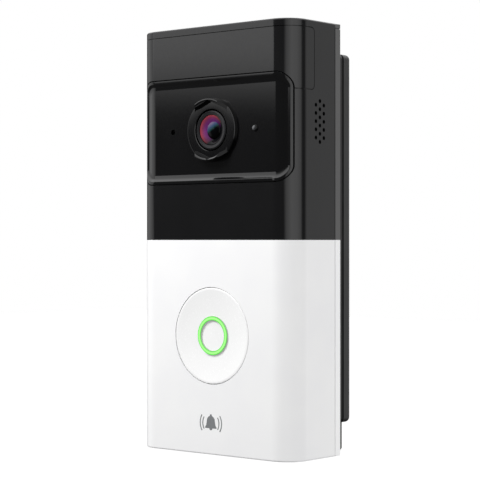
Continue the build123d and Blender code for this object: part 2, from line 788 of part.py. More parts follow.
def housing_gasket():
    inner = CHASSIS_INSET + CHASSIS_WALL
    edge = CHASSIS_HALF_HEIGHT
    side = HALF_WIDTH - CHASSIS_INSET
    outer = block((-side, side), (CHASSIS_BACK, REAR_FRONT), (-edge, edge))
    hole_x = HALF_WIDTH - inner
    hole_z = edge - CHASSIS_WALL
    return outer - block((-hole_x, hole_x), (CHASSIS_BACK - 1, REAR_FRONT + 1), (-hole_z, hole_z))


def rear_tray():
    wall_x = HALF_WIDTH - CHASSIS_INSET
    edge = CHASSIS_HALF_HEIGHT
    solid = block((-wall_x, wall_x), (REAR_FRONT, REAR_PLATE_BACK), (-edge, edge))
    solid -= block(
        (-wall_x + CHASSIS_WALL, wall_x - CHASSIS_WALL),
        (REAR_FRONT - 1, REAR_PLATE_FRONT),
        (-edge + CHASSIS_WALL, edge - CHASSIS_WALL),
    )
    return solid


def rear_housing():
    solid = rear_tray()
    # screw bosses with sunk heads
    for x in (-HOUSING_SCREW_X, HOUSING_SCREW_X):
        for z in HOUSING_SCREW_Z:
            solid += disc(BOSS_RADIUS, CHASSIS_BACK, REAR_PLATE_BACK, x, z)
            solid -= disc(1.15, CHASSIS_BACK - 1, REAR_PLATE_BACK + 1, x, z)
            solid -= disc(2.1, REAR_PLATE_FRONT + 0.2, REAR_PLATE_BACK + 1, x, z)
    # pockets for the bracket's two hooks, each with the bar that drops behind the hook's lip
    for x in (-HOOK_X, HOOK_X):
        half = HOOK_WIDTH / 2
        outer = (x - half - 1.6, x + half + 1.6)
        inner = (x - half - 0.4, x + half + 0.4)
        solid += block(outer, (HOOK_POCKET_FRONT - 1.2, REAR_PLATE_BACK), (47.6, 57.2))
        solid -= block(inner, (HOOK_POCKET_FRONT, REAR_PLATE_BACK + 1), (48.8, 56.0))
        bar = (HOOK_FRONT + HOOK_LIP + 0.15, REAR_PLATE_BACK)
        solid += block((x - half - 0.5, x + half + 0.5), bar, (HOOK_AXIS_Z + 0.15, 56.1))
        # the bar's rounded lower edge, which rocks on the hook's tongue
        edge_place = Pos(x, y_at(HOOK_AXIS_DEPTH), HOOK_AXIS_Z) * Rot(0, 90, 0)
        solid += edge_place * Cylinder(BAR_ROUND, HOOK_WIDTH + 0.9)
    # terminal bay
    solid += block((-14, 14), (TERMINAL_FLOOR - 1.4, REAR_PLATE_BACK), (-15, 8.5))
    solid -= block((-12.6, 12.6), (TERMINAL_FLOOR, REAR_PLATE_BACK + 1), (-13.6, 7.1))
    for x in (-TERMINAL_X, TERMINAL_X):
        solid -= disc(2.62, TERMINAL_FLOOR - 3, TERMINAL_FLOOR + 1, x)
    # pocket for the bracket's foot and the way for the locking screw
    pocket_low = -CHASSIS_HALF_HEIGHT + CHASSIS_WALL
    solid += block((-7.4, 7.4), (FOOT_FRONT - 2.4, REAR_PLATE_BACK), (pocket_low, -49.2))
    solid -= block((-6.0, 6.0), (FOOT_FRONT - 1.0, REAR_PLATE_BACK + 1), (-54.5, -50.6))
    solid -= lock_hole(LOCK_SHANK + 0.1, -HALF_HEIGHT - 1, -54)
    solid -= lock_hole(LOCK_HEAD + 0.2, -HALF_HEIGHT - 1, -58.5)
    return solid


def lock_hole(radius, low, high):
    return Pos(0, y_at(LOCK_DEPTH), (low + high) / 2) * Cylinder(radius, high - low)


def housing_screws():
    screws = []
    head_front = REAR_PLATE_FRONT + 0.2
    for x in (-HOUSING_SCREW_X, HOUSING_SCREW_X):
        for z in HOUSING_SCREW_Z:
            solid = disc(1.0, 11.5, head_front, x, z) + disc(1.95, head_front, REAR_PLATE_BACK - 0.1, x, z)
            solid -= slab(RegularPolygon(0.9, 6), REAR_PLATE_BACK - 0.8, REAR_PLATE_BACK, x, z)
            screws.append(solid.solid())
    return Compound(children=screws)


def terminal_plates():
    # a plate with a threaded sleeve that reaches the main board
    plates = []
    back = TERMINAL_FLOOR + TERMINAL_PLATE
    board_back = MAIN_BOARD_FRONT + MAIN_BOARD_THICKNESS
    for x in (-TERMINAL_X, TERMINAL_X):
        solid = block((x - 4.2, x + 4.2), (TERMINAL_FLOOR, back), (-4.2, 4.6))
        solid += disc(2.6, board_back, TERMINAL_FLOOR, x)
        solid -= disc(1.55, board_back - 1, back + 1, x)
        plates.append(solid.solid())
    return Compound(children=plates)


def terminal_washer(x):
    front = TERMINAL_FLOOR + TERMINAL_PLATE
    return ring(2.9, 1.6, front, front + 0.5, x)


def terminal_screw(x):
    under_head = TERMINAL_FLOOR + TERMINAL_PLATE + 0.5
    head = disc(2.7, under_head, under_head + 1.7, x)
    head -= slab(Rectangle(4.2, 0.7), under_head + 1.0, under_head + 2, x)
    head -= slab(Rectangle(0.7, 4.2), under_head + 1.0, under_head + 2, x)
    return disc(1.5, 16.6, under_head, x) + head


def locking_washer():
    low = LOCK_REST + 1.4
    solid = Pos(0, y_at(LOCK_DEPTH), low + 0.2) * Cylinder(LOCK_HEAD, 0.4)
    return solid - lock_hole(LOCK_SHANK + 0.05, low - 1, low + 1)


def locking_screw():
    head_top = LOCK_REST + 1.4
    solid = lock_hole(LOCK_HEAD, LOCK_REST, head_top)
    solid += lock_hole(LOCK_SHANK, head_top - 0.1, -53.9)
    socket = Pos(0, y_at(LOCK_DEPTH), LOCK_REST) * Cylinder(0.9, 1.6)
    pin = Pos(0, y_at(LOCK_DEPTH), LOCK_REST + 0.4) * Cylinder(0.35, 0.8)
    return solid - socket + pin


def bracket_outline(inset, low, high):
    half = HALF_WIDTH - BRACKET_INSET - inset
    return Pos(0, (low + high) / 2) * RectangleRounded(2 * half, high - low, 1.5)


def wall_bracket():
    solid = slab(bracket_outline(0, BRACKET_LOW, BRACKET_HIGH), BRACKET_FRONT, TOTAL_DEPTH)
    # the neck behind the unit is slightly narrower
    neck_back = BRACKET_FRONT + NECK_DEPTH
    neck = slab(bracket_outline(-2, BRACKET_LOW - 2, BRACKET_HIGH + 2), BRACKET_FRONT - 1, neck_back)
    core = bracket_outline(NECK_INSET, BRACKET_LOW, BRACKET_HIGH)
    neck -= slab(core, BRACKET_FRONT - 2, neck_back + 1)
    solid -= neck
    rear_edges = solid.faces().sort_by(Axis.Y)[-1].edges()
    solid = fillet(rear_edges, 1.3)
    # tongue under the box, with a hollow round where they meet
    tongue_half = HALF_WIDTH - BRACKET_INSET - TONGUE_INSET
    tongue = slab(
        Pos(0, (TONGUE_LOW + BRACKET_LOW + 4) / 2)
        * RectangleRounded(2 * tongue_half, BRACKET_LOW + 4 - TONGUE_LOW, 1.0),
        TOTAL_DEPTH - TONGUE_THICKNESS,
        TOTAL_DEPTH,
    )
    low_edge = tongue.edges().filter_by(Axis.X).group_by(Axis.Z)[0].sort_by(Axis.Y)[-1]
    tongue = fillet(low_edge, 0.6)
    hollow = 2.4
    web_outline = make_face(
        Polyline(
            (y_at(TOTAL_DEPTH - TONGUE_THICKNESS), BRACKET_LOW + 1),
            (y_at(TOTAL_DEPTH - TONGUE_THICKNESS), BRACKET_LOW - hollow),
            (y_at(TOTAL_DEPTH - TONGUE_THICKNESS) - hollow, BRACKET_LOW),
            (y_at(TOTAL_DEPTH - TONGUE_THICKNESS) - hollow, BRACKET_LOW + 1),
            close=True,
        )
    )
    web_outline -= Pos(y_at(TOTAL_DEPTH - TONGUE_THICKNESS) - hollow, BRACKET_LOW - hollow) * Circle(hollow)
    web = extrude(Plane.YZ * web_outline, amount=tongue_half, both=True)
    solid += tongue
    solid += web
    # hollow front, leaving the rim and the wall plate
    inner = bracket_outline(BRACKET_WALL, BRACKET_LOW + BRACKET_WALL, BRACKET_HIGH - BRACKET_WALL)
    solid -= slab(inner, BRACKET_FRONT - 1, TOTAL_DEPTH - BRACKET_PLATE)
    # hooks that carry the unit
    for x in (-HOOK_X, HOOK_X):
        span = (x - HOOK_WIDTH / 2, x + HOOK_WIDTH / 2)
        solid += block(span, (BRACKET_FRONT, TOTAL_DEPTH - BRACKET_PLATE), (TONGUE_BOTTOM, BRACKET_HIGH - 1))
        solid += block(span, (HOOK_FRONT, BRACKET_FRONT + 1), (TONGUE_BOTTOM, TONGUE_TOP))
        solid += block(span, (HOOK_FRONT, HOOK_FRONT + HOOK_LIP), (TONGUE_BOTTOM, HOOK_TOP))
        gusset = (x - 0.8, x + 0.8)
        gusset_depths = (BRACKET_FRONT + 0.5, TOTAL_DEPTH - BRACKET_PLATE + 0.5)
        solid += block(gusset, gusset_depths, (42.0, TONGUE_BOTTOM))
    # the top front edge leans back so that the unit can turn on the hooks
    lean = make_face(
        Polyline(
            (y_at(BRACKET_FRONT - 1), 51.0),
            (y_at(BRACKET_FRONT), 51.0),
            (y_at(BRACKET_FRONT + 0.9), BRACKET_HIGH + 0.01),
            (y_at(BRACKET_FRONT + 0.9), BRACKET_HIGH + 1),
            (y_at(BRACKET_FRONT - 1), BRACKET_HIGH + 1),
            close=True,
        )
    )
    lean_cut = extrude(Plane.YZ * lean, amount=HALF_WIDTH, both=True)
    for x in (-HOOK_X, HOOK_X):
        half = HOOK_WIDTH / 2
        keep = block((x - half, x + half), (BRACKET_FRONT - 1.1, BRACKET_FRONT + 1), (50.9, TONGUE_TOP))
        lean_cut -= keep
    solid -= lean_cut
    # foot for the locking screw
    foot = block(
        (-FOOT_WIDTH / 2, FOOT_WIDTH / 2),
        (FOOT_FRONT, BRACKET_FRONT + 1),
        (BRACKET_LOW + NECK_INSET, BRACKET_LOW + BRACKET_WALL),
    )
    foot -= lock_hole(FOOT_HOLE, -56, -48)
    solid += foot
    # wire opening and wall screw holes
    solid -= slab(RectangleRounded(*WIRE_OPENING, 3), 20, TOTAL_DEPTH + 1)
    for z in (-WALL_SCREW_Z, WALL_SCREW_Z):
        solid += disc(6.0, TOTAL_DEPTH - 3.2, TOTAL_DEPTH - BRACKET_PLATE + 0.1, 0, z)
        solid -= disc(WALL_SCREW_RADIUS, 20, TOTAL_DEPTH + 1, 0, z)
    # ribs across the wall plate
    for z in (-26.0, 26.0):
        solid += block((-26.5, 26.5), (25.4, TOTAL_DEPTH - BRACKET_PLATE + 0.1), (z - 0.6, z + 0.6))
    return solid


SINGLE_NODES = {
    "upper_housing": upper_housing,
    "lower_faceplate": lower_faceplate,
    "top_window": top_window,
    "camera_bezel": camera_bezel,
    "lens_hood": lens_hood,
    "lens_barrel": lens_barrel,
    "lens_front_element": lens_front_element,
    "lens_spacer": lens_spacer,
    "lens_second_element": lens_second_element,
    "lens_rear_spacer": lens_rear_spacer,
    "lens_rear_element": lens_rear_element,
    "lens_retaining_ring": lens_retaining_ring,
    "lens_holder": lens_holder,
    "filter_slider": filter_slider,
    "slider_magnet": slider_magnet,
    "ir_cut_coil": ir_cut_coil,
    "image_sensor": image_sensor,
    "camera_board": camera_board,
    "sensor_flex": sensor_flex,
    "microphone": microphone,
    "mic_gasket": mic_gasket,
    "light_pipe": light_pipe,
    "light_sensor": light_sensor,
    "board_screws": board_screws,
    "main_board": main_board,
    "rf_shield": rf_shield,
    "processor": processor,
    "power_components": power_components,
    "board_connectors": board_connectors,
    "ribbon_cable": ribbon_cable,
    "wifi_antenna": wifi_antenna,
    "ir_led_board": ir_led_board,
    "ir_leds": ir_leds,
    "speaker_frame": speaker_frame,
    "speaker_magnet": speaker_magnet,
    "speaker_cone": speaker_cone,
    "speaker_gasket": speaker_gasket,
    "grille_mesh": grille_mesh,
    "button_cap": button_cap,
    "button_light_ring": button_light_ring,
    "button_centre": button_centre,
    "switch_plunger": switch_plunger,
    "switch_body": switch_body,
    "ring_leds": ring_leds,
    "button_board": button_board,
    "button_seal": button_seal,
    "front_chassis": front_chassis,
    "housing_gasket": housing_gasket,
    "rear_housing": rear_housing,
    "housing_screws": housing_screws,
    "terminal_plates": terminal_plates,
    "locking_washer": locking_washer,
    "locking_screw": locking_screw,
    "wall_bracket": wall_bracket,
}

for node, make in SINGLE_NODES.items():
    export_step(make(), f"parts/{node}.step")
export_step(filter_glass(0), "parts/ir_cut_filter.step")
export_step(filter_glass(FILTER_TRAVEL), "parts/night_window.step")
for side, x in (("left", -TERMINAL_X), ("right", TERMINAL_X)):
    export_step(terminal_washer(x), f"parts/terminal_washer_{side}.step")
    export_step(terminal_screw(x), f"parts/terminal_screw_{side}.step")
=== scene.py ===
import json
import math

import bpy
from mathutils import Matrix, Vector

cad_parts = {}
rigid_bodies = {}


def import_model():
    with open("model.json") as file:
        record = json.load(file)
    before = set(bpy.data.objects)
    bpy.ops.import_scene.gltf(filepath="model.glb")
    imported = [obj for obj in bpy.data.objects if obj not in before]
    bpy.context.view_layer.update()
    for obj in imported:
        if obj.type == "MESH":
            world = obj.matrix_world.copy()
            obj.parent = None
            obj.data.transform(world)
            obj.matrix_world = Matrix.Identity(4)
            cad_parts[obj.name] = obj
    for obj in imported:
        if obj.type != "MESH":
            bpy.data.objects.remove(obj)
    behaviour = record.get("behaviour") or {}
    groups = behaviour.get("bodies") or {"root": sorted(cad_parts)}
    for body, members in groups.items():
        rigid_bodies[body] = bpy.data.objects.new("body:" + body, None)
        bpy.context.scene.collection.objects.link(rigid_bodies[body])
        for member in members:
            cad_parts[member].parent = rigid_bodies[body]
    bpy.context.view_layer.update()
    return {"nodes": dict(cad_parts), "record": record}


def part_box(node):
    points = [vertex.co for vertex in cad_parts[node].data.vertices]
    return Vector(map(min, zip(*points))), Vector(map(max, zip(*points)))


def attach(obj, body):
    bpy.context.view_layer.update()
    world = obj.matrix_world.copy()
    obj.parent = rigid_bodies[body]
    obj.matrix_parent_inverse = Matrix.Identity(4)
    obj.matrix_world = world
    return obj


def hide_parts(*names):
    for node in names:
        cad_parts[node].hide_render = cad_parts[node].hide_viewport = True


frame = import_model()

# Video doorbell on its wall bracket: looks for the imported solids, and the pieces that only need looks.
# Metres throughout. +Z up, the visitor's side toward -Y, the wall at y = 0.

mm = 0.001
nodes = frame["nodes"]
# the flush front of the unit and its right side, as packed
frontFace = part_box("upper_housing")[0][1]
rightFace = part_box("upper_housing")[1][0]


def hexLinear(colour, alpha=1.0):
    # an sRGB hex colour as linear light
    parts = [int(colour[i:i + 2], 16) / 255 for i in (1, 3, 5)]
    return tuple(p / 12.92 if p <= 0.04045 else ((p + 0.055) / 1.055) ** 2.4 for p in parts) + (alpha,)


def addNode(tree, kind, settings=None, links=None):
    # one node with its settings, by socket or by property, and the links into it
    node = tree.nodes.new(kind)
    for key, value in (settings or {}).items():
        if isinstance(key, int) or key in node.inputs:
            node.inputs[key].default_value = value
        else:
            setattr(node, key, value)
    for key, source in (links or {}).items():
        tree.links.new(source, node.inputs[key])
    return node


def newMaterial(name, settings):
    # a material with one Principled shader, its uniform values on the shader's own sockets
    material = bpy.data.materials.new(name)
    material.use_nodes = True
    tree = material.node_tree
    tree.nodes.clear()
    shader = addNode(tree, "ShaderNodeBsdfPrincipled", settings)
    addNode(tree, "ShaderNodeOutputMaterial", links={"Surface": shader.outputs["BSDF"]})
    place = addNode(tree, "ShaderNodeTexCoord").outputs["Object"]
    return material, tree, shader, place


def rampColours(ramp, stops):
    # colour stops as (position, hex)
    marks = ramp.color_ramp.elements
    while len(marks) > 1:
        marks.remove(marks[-1])
    marks[0].position, marks[0].color = stops[0][0], hexLinear(stops[0][1])
    for position, colour in stops[1:]:
        marks.new(position).color = hexLinear(colour)


# level with the middle of the unit, turned in degrees; lens and sensor in mm
cameraSet = {
    "place": (309.3 * mm, -382.8 * mm, 0.0), "turn": 40.2, "lens": 121.0, "sensor": 36.0, "nearest": 10 * mm,
}
bpy.ops.object.camera_add(
    location=cameraSet["place"], rotation=(math.radians(90), 0, math.radians(cameraSet["turn"]))
)
camera = bpy.context.object
camera.name = "viewCamera"
camera.data.lens = cameraSet["lens"]
camera.data.sensor_width = cameraSet["sensor"]
camera.data.clip_start = cameraSet["nearest"]
bpy.context.scene.camera = camera
print("camera placed")

floorSet = {
    "drop": 0.26, "size": 8.0, "dark": "#fafafa", "colour": "#ffffff", "grainScale": 3.0, "glow": 0.5,
}


def makeFloor():
    # white vinyl sweep, lit evenly enough to have no horizon
    material, tree, shader, place = newMaterial("whiteVinyl", {
        "Roughness": 0.9,
        "Emission Color": hexLinear(floorSet["colour"]), "Emission Strength": floorSet["glow"],
    })
    grain = addNode(tree, "ShaderNodeTexNoise", {"Scale": floorSet["grainScale"]}, {"Vector": place})
    tint = addNode(tree, "ShaderNodeValToRGB", links={"Fac": grain.outputs["Fac"]})
    rampColours(tint, [(0.3, floorSet["dark"]), (0.7, floorSet["colour"])])
    tree.links.new(tint.outputs["Color"], shader.inputs["Base Color"])
    bpy.ops.mesh.primitive_plane_add(size=floorSet["size"], location=(0, 0, -floorSet["drop"]))
    floor = bpy.context.object
    floor.name = "floor"
    floor.data.materials.append(material)
    floor.visible_glossy = False  # the room's own ground shows in the gloss instead
    floor.visible_diffuse = False


lightSet = {
    # place, size across and power in watts; all aim at the origin and none shows as a spot in the gloss
    "topKey": {"place": (-0.14, -0.26, 0.26), "size": 0.22, "power": 1.55},
    "rightFill": {"place": (0.95, 0.12, 0.2), "size": 0.7, "power": 3.9},
    "rearFill": {"place": (0.1, 0.9, 0.4), "size": 0.9, "power": 1.7},
}


def makeLights():
    for name, s in lightSet.items():
        place = Vector(s["place"])
        bpy.ops.object.light_add(type="AREA", location=place)
        lamp = bpy.context.object
        lamp.name = name
        lamp.data.shape = "DISK"
        lamp.data.size = s["size"]
        lamp.data.energy = s["power"]
        lamp.rotation_euler = (-place).to_track_quat("-Z", "Y").to_euler()
        lamp.visible_glossy = False
        lamp.visible_camera = False


# what the gloss sees, by compass angle from the visitor's side (0) toward the right (90), as brightness
roomSet = {
    "angles": [
        (-180, 0.3), (-140, 0.08), (-105, 0.06), (-96, 0.75), (-66, 0.95), (-53, 0.75), (-46, 0.08),
        (21, 0.08), (34, 0.95), (58, 1.6), (84, 1.45), (104, 1.0), (114, 0.1), (129, 0.1), (136, 0.62),
        (147, 0.64), (153, 1.0), (162, 1.2), (172, 1.0), (180, 0.6),
    ],
    # the front card spans a few degrees only, and hangs with its soft lower edge just above eye level
    "cardEdges": (-54.0, -31.0), "cardRise": (4.1, 6.9), "cardLight": 1.5,
    # how far each upright edge of the card fades outward and inward, in radians
    "leftFade": (0.03, 0.01), "rightFade": (0.03, 0.0),
    # ceiling and ground: brightness, and the degrees of rise over which they come in
    "ceiling": 1.75, "ceilingRise": (16, 38),
    "ground": 0.1, "groundRise": (-12, -30),
    # what matt surfaces and the camera see instead
    "ambient": 0.5, "backdrop": 1.0,
}


def makeRoom():
    world = bpy.data.worlds.new("studioRoom")
    bpy.context.scene.world = world
    world.use_nodes = True
    tree = world.node_tree
    tree.nodes.clear()
    way = addNode(tree, "ShaderNodeTexCoord").outputs["Generated"]
    part = addNode(tree, "ShaderNodeSeparateXYZ", links={"Vector": way})
    forward = addNode(
        tree, "ShaderNodeMath", {"operation": "MULTIPLY", 1: -1.0}, {0: part.outputs["Y"]}
    ).outputs[0]
    turn = addNode(
        tree, "ShaderNodeMath", {"operation": "ARCTAN2"}, {0: part.outputs["X"], 1: forward}
    ).outputs[0]
    share = addNode(
        tree, "ShaderNodeMapRange", {"From Min": -math.pi, "From Max": math.pi}, {"Value": turn}
    ).outputs["Result"]
    walls = addNode(tree, "ShaderNodeValToRGB", links={"Fac": share})
    marks = walls.color_ramp.elements
    while len(marks) > 1:
        marks.remove(marks[-1])
    for index, (angle, light) in enumerate(roomSet["angles"]):
        position = (angle + 180) / 360
        spot = marks[0] if index == 0 else marks.new(position)
        spot.position = position
        spot.color = (light, light, light, 1)
    rise = addNode(tree, "ShaderNodeMath", {"operation": "ARCSINE"}, {0: part.outputs["Z"]}).outputs[0]
    lift, upShare, downShare = [
        addNode(
            tree, "ShaderNodeMapRange",
            {
                "interpolation_type": "SMOOTHSTEP",
                "From Min": math.radians(roomSet[key][0]), "From Max": math.radians(roomSet[key][1]),
            },
            {"Value": rise},
        ).outputs["Result"]
        for key in ("cardRise", "ceilingRise", "groundRise")
    ]
    edges = [math.radians(a) for a in roomSet["cardEdges"]]
    outward, inward = roomSet["leftFade"]
    left = addNode(
        tree, "ShaderNodeMapRange", {"From Min": edges[0] - outward, "From Max": edges[0] + inward},
        {"Value": turn},
    ).outputs["Result"]
    outward, inward = roomSet["rightFade"]
    right = addNode(
        tree, "ShaderNodeMapRange", {"From Min": edges[1] + outward, "From Max": edges[1] - inward},
        {"Value": turn},
    ).outputs["Result"]
    span = addNode(tree, "ShaderNodeMath", {"operation": "MULTIPLY"}, {0: left, 1: right}).outputs[0]
    cardShare = addNode(tree, "ShaderNodeMath", {"operation": "MULTIPLY"}, {0: span, 1: lift}).outputs[0]
    card = addNode(
        tree, "ShaderNodeMath", {"operation": "MULTIPLY", 1: roomSet["cardLight"]}, {0: cardShare}
    ).outputs[0]
    room = addNode(
        tree, "ShaderNodeMath", {"operation": "MAXIMUM"}, {0: walls.outputs["Color"], 1: card}
    ).outputs[0]
    withCeiling = addNode(
        tree, "ShaderNodeMix", {"data_type": "FLOAT", 3: roomSet["ceiling"]}, {0: upShare, 2: room}
    ).outputs[0]
    gloss = addNode(
        tree, "ShaderNodeMix", {"data_type": "FLOAT", 3: roomSet["ground"]}, {0: downShare, 2: withCeiling}
    ).outputs[0]
    rays = addNode(tree, "ShaderNodeLightPath")
    soft = addNode(
        tree, "ShaderNodeMix", {"data_type": "FLOAT", 2: roomSet["ambient"]},
        {0: rays.outputs["Is Glossy Ray"], 3: gloss},
    ).outputs[0]
    seen = addNode(
        tree, "ShaderNodeMix", {"data_type": "FLOAT", 3: roomSet["backdrop"]},
        {0: rays.outputs["Is Camera Ray"], 2: soft},
    ).outputs[0]
    back = addNode(tree, "ShaderNodeBackground", {"Color": (1, 1, 1, 1)}, {"Strength": seen})
    addNode(tree, "ShaderNodeOutputWorld", links={"Surface": back.outputs["Background"]})


makeFloor()
makeLights()
makeRoom()
bpy.context.scene.view_settings.view_transform = "Standard"
print("stage and light placed")

# Moulded plastics and rubbers. grain is the mould texture's size and depth how far it stands, in mm;
# flow is the size in mm of the faint changes from colour to dark that a moulding has.
mouldings = {
    # ABS from a polished mould: nearly black, with clear but slightly soft reflections
    "polishedBlackAbs": {
        "colour": "#141415", "dark": "#121213", "roughness": 0.11,
        "grain": 0.9, "depth": 0.0008, "flow": 14.0,
    },
    # tinted polycarbonate: smoother and deeper than the housing round it
    "smokedPolycarbonate": {
        "colour": "#151516", "dark": "#131314", "roughness": 0.09,
        "grain": 1.4, "depth": 0.0005, "flow": 18.0,
    },
    # ABS plate with a lacquered face: sharp bands in its bevels
    "lacqueredBlackAbs": {
        "colour": "#0e0e0f", "dark": "#0c0c0d", "roughness": 0.07,
        "grain": 1.2, "depth": 0.0004, "flow": 12.0,
    },
    # ABS from a finely eroded mould: soft broad highlights on the lens hood
    "satinBlackAbs": {
        "colour": "#08080a", "dark": "#070708", "roughness": 0.11, "grain": 0.5, "depth": 0.0004, "flow": 5.0,
    },
    # ASA for outdoors, satin white: even, with only a soft sheen
    "satinWhiteAsa": {
        "colour": "#f4f4f4", "dark": "#f1f1f2", "roughness": 0.34,
        "grain": 0.5, "depth": 0.0010, "flow": 16.0,
    },
    # the same ASA in the button, polished a little more by its mould
    "polishedWhiteAsa": {
        "colour": "#f5f5f5", "dark": "#f3f3f3", "roughness": 0.26, "grain": 0.5, "depth": 0.0008, "flow": 9.0,
    },
    # spark eroded ABS of the bracket: an even fine leather-like matt
    "erodedGreyAbs": {
        "colour": "#1b1b1c", "dark": "#171718", "roughness": 0.4, "grain": 0.28, "depth": 0.006, "flow": 10.0,
    },
    # glass filled nylon of the chassis: matt, with short pale fibres near the skin
    "glassFilledNylon": {
        "colour": "#2b2b2d", "dark": "#1f1f21", "roughness": 0.55, "grain": 0.4, "depth": 0.006, "flow": 3.0,
    },
    # unfilled nylon of small inner mouldings
    "blackNylon": {
        "colour": "#1b1b1c", "dark": "#151516", "roughness": 0.42, "grain": 0.3, "depth": 0.003, "flow": 4.0,
    },
    # silicone: waxy, with a dusty bloom
    "greySilicone": {
        "colour": "#5a5b5d", "dark": "#4c4d4f", "roughness": 0.6, "grain": 0.25, "depth": 0.003, "flow": 2.5,
    },
    # foam and rubber of the acoustic seals
    "blackFoamRubber": {
        "colour": "#1d1d1e", "dark": "#121213", "roughness": 0.85, "grain": 0.22, "depth": 0.02, "flow": 1.5,
    },
    # epoxy chip packages
    "chipEpoxy": {
        "colour": "#1d1d1f", "dark": "#161618", "roughness": 0.5, "grain": 0.15, "depth": 0.004, "flow": 2.0,
    },
    # shrunk PVC sleeves and ferrite cases of the power parts
    "componentSleeve": {
        "colour": "#23283a", "dark": "#1a1d29", "roughness": 0.35, "grain": 0.6, "depth": 0.003, "flow": 4.0,
    },
    # natural nylon of the ribbon connectors
    "ivoryNylon": {
        "colour": "#d9d2bd", "dark": "#cbc3aa", "roughness": 0.4, "grain": 0.4, "depth": 0.002, "flow": 3.0,
    },
    # water clear epoxy of the lamps, milky in bulk
    "ledEpoxy": {
        "colour": "#dcdcd2", "dark": "#c9c9bd", "roughness": 0.12, "grain": 0.6, "depth": 0.001, "flow": 1.5,
    },
    # formed film of the speaker's cone
    "formedFilm": {
        "colour": "#2e2f33", "dark": "#24252a", "roughness": 0.3, "grain": 0.5, "depth": 0.002, "flow": 2.0,
    },
}


# where the faint shades change over, and how far the roughness strays, as shares of its own value
mouldSpread = {"shades": (0.35, 0.65), "grains": (0.3, 0.7), "rough": (0.9, 1.1)}


def moulded(name):
    s = mouldings[name]
    low, high = mouldSpread["shades"]
    material, tree, shader, place = newMaterial(name, {"Roughness": s["roughness"], "IOR": 1.5})
    shades = addNode(
        tree, "ShaderNodeTexNoise", {"Scale": 1 / (s["flow"] * mm), "Detail": 2.0}, {"Vector": place}
    )
    tint = addNode(tree, "ShaderNodeValToRGB", links={"Fac": shades.outputs["Fac"]})
    rampColours(tint, [(low, s["dark"]), (high, s["colour"])])
    tree.links.new(tint.outputs["Color"], shader.inputs["Base Color"])
    grain = addNode(
        tree, "ShaderNodeTexNoise", {"Scale": 1 / (s["grain"] * mm), "Detail": 3.0}, {"Vector": place}
    )
    low, high = mouldSpread["grains"]
    smoother, rougher = mouldSpread["rough"]
    rough = addNode(
        tree, "ShaderNodeMapRange",
        {
            "From Min": low, "From Max": high,
            "To Min": s["roughness"] * smoother, "To Max": s["roughness"] * rougher,
        },
        {"Value": grain.outputs["Fac"]},
    )
    tree.links.new(rough.outputs["Result"], shader.inputs["Roughness"])
    bump = addNode(tree, "ShaderNodeBump", {"Distance": s["depth"] * mm}, {"Height": grain.outputs["Fac"]})
    tree.links.new(bump.outputs["Normal"], shader.inputs["Normal"])
    return material


# Metals. brush is the spacing in mm of the fine marks that the making leaves.
metals = {
    # zinc plated steel of the terminal and locking screws: bluish, slightly cloudy
    "zincPlatedSteel": {"colour": "#c3c6c8", "dark": "#a2a5a8", "roughness": 0.3, "brush": 0.25},
    # nickel plated steel of shields and small screws
    "nickelPlatedSteel": {"colour": "#c9c7c1", "dark": "#aeaca6", "roughness": 0.24, "brush": 0.3},
    # sintered magnet with its nickel coat
    "nickelledMagnet": {"colour": "#a9a8a4", "dark": "#8d8c89", "roughness": 0.38, "brush": 0.2},
    # stamped brass of the terminal plates
    "stampedBrass": {"colour": "#d0a95a", "dark": "#b18a42", "roughness": 0.32, "brush": 0.35},
    # bare copper foil and wire
    "bareCopper": {"colour": "#c97d55", "dark": "#a5603c", "roughness": 0.34, "brush": 0.2},
    # matt black anodised aluminium inside the lens
    "blackAnodised": {"colour": "#1d1d1f", "dark": "#141415", "roughness": 0.5, "brush": 0.12},
}


# the marks are drawn out front to back; their shades, roughness as shares of its own value, and depth in mm
markSet = {"stretch": (1.0, 0.12, 1.0), "shades": (0.3, 0.65), "rough": (0.75, 1.3), "depth": 0.002}


def plated(name):
    s = metals[name]
    material, tree, shader, place = newMaterial(name, {"Metallic": 1.0, "Roughness": s["roughness"]})
    spread = addNode(tree, "ShaderNodeMapping", {"Scale": markSet["stretch"]}, {"Vector": place})
    marks = addNode(
        tree, "ShaderNodeTexNoise", {"Scale": 1 / (s["brush"] * mm), "Detail": 4.0},
        {"Vector": spread.outputs["Vector"]},
    )
    tint = addNode(tree, "ShaderNodeValToRGB", links={"Fac": marks.outputs["Fac"]})
    low, high = markSet["shades"]
    rampColours(tint, [(low, s["dark"]), (high, s["colour"])])
    tree.links.new(tint.outputs["Color"], shader.inputs["Base Color"])
    smoother, rougher = markSet["rough"]
    rough = addNode(
        tree, "ShaderNodeMapRange",
        {"To Min": s["roughness"] * smoother, "To Max": s["roughness"] * rougher},
        {"Value": marks.outputs["Fac"]},
    )
    tree.links.new(rough.outputs["Result"], shader.inputs["Roughness"])
    bump = addNode(
        tree, "ShaderNodeBump", {"Distance": markSet["depth"] * mm}, {"Height": marks.outputs["Fac"]}
    )
    tree.links.new(bump.outputs["Normal"], shader.inputs["Normal"])
    return material


# the lens axis and the two side eyes, at one height; radii of the front glass and of the dome in it
lensSet = {"z": 32.0 * mm, "eyeX": 15.87 * mm, "glassRadius": 4.45 * mm, "domeRadius": 2.6 * mm}


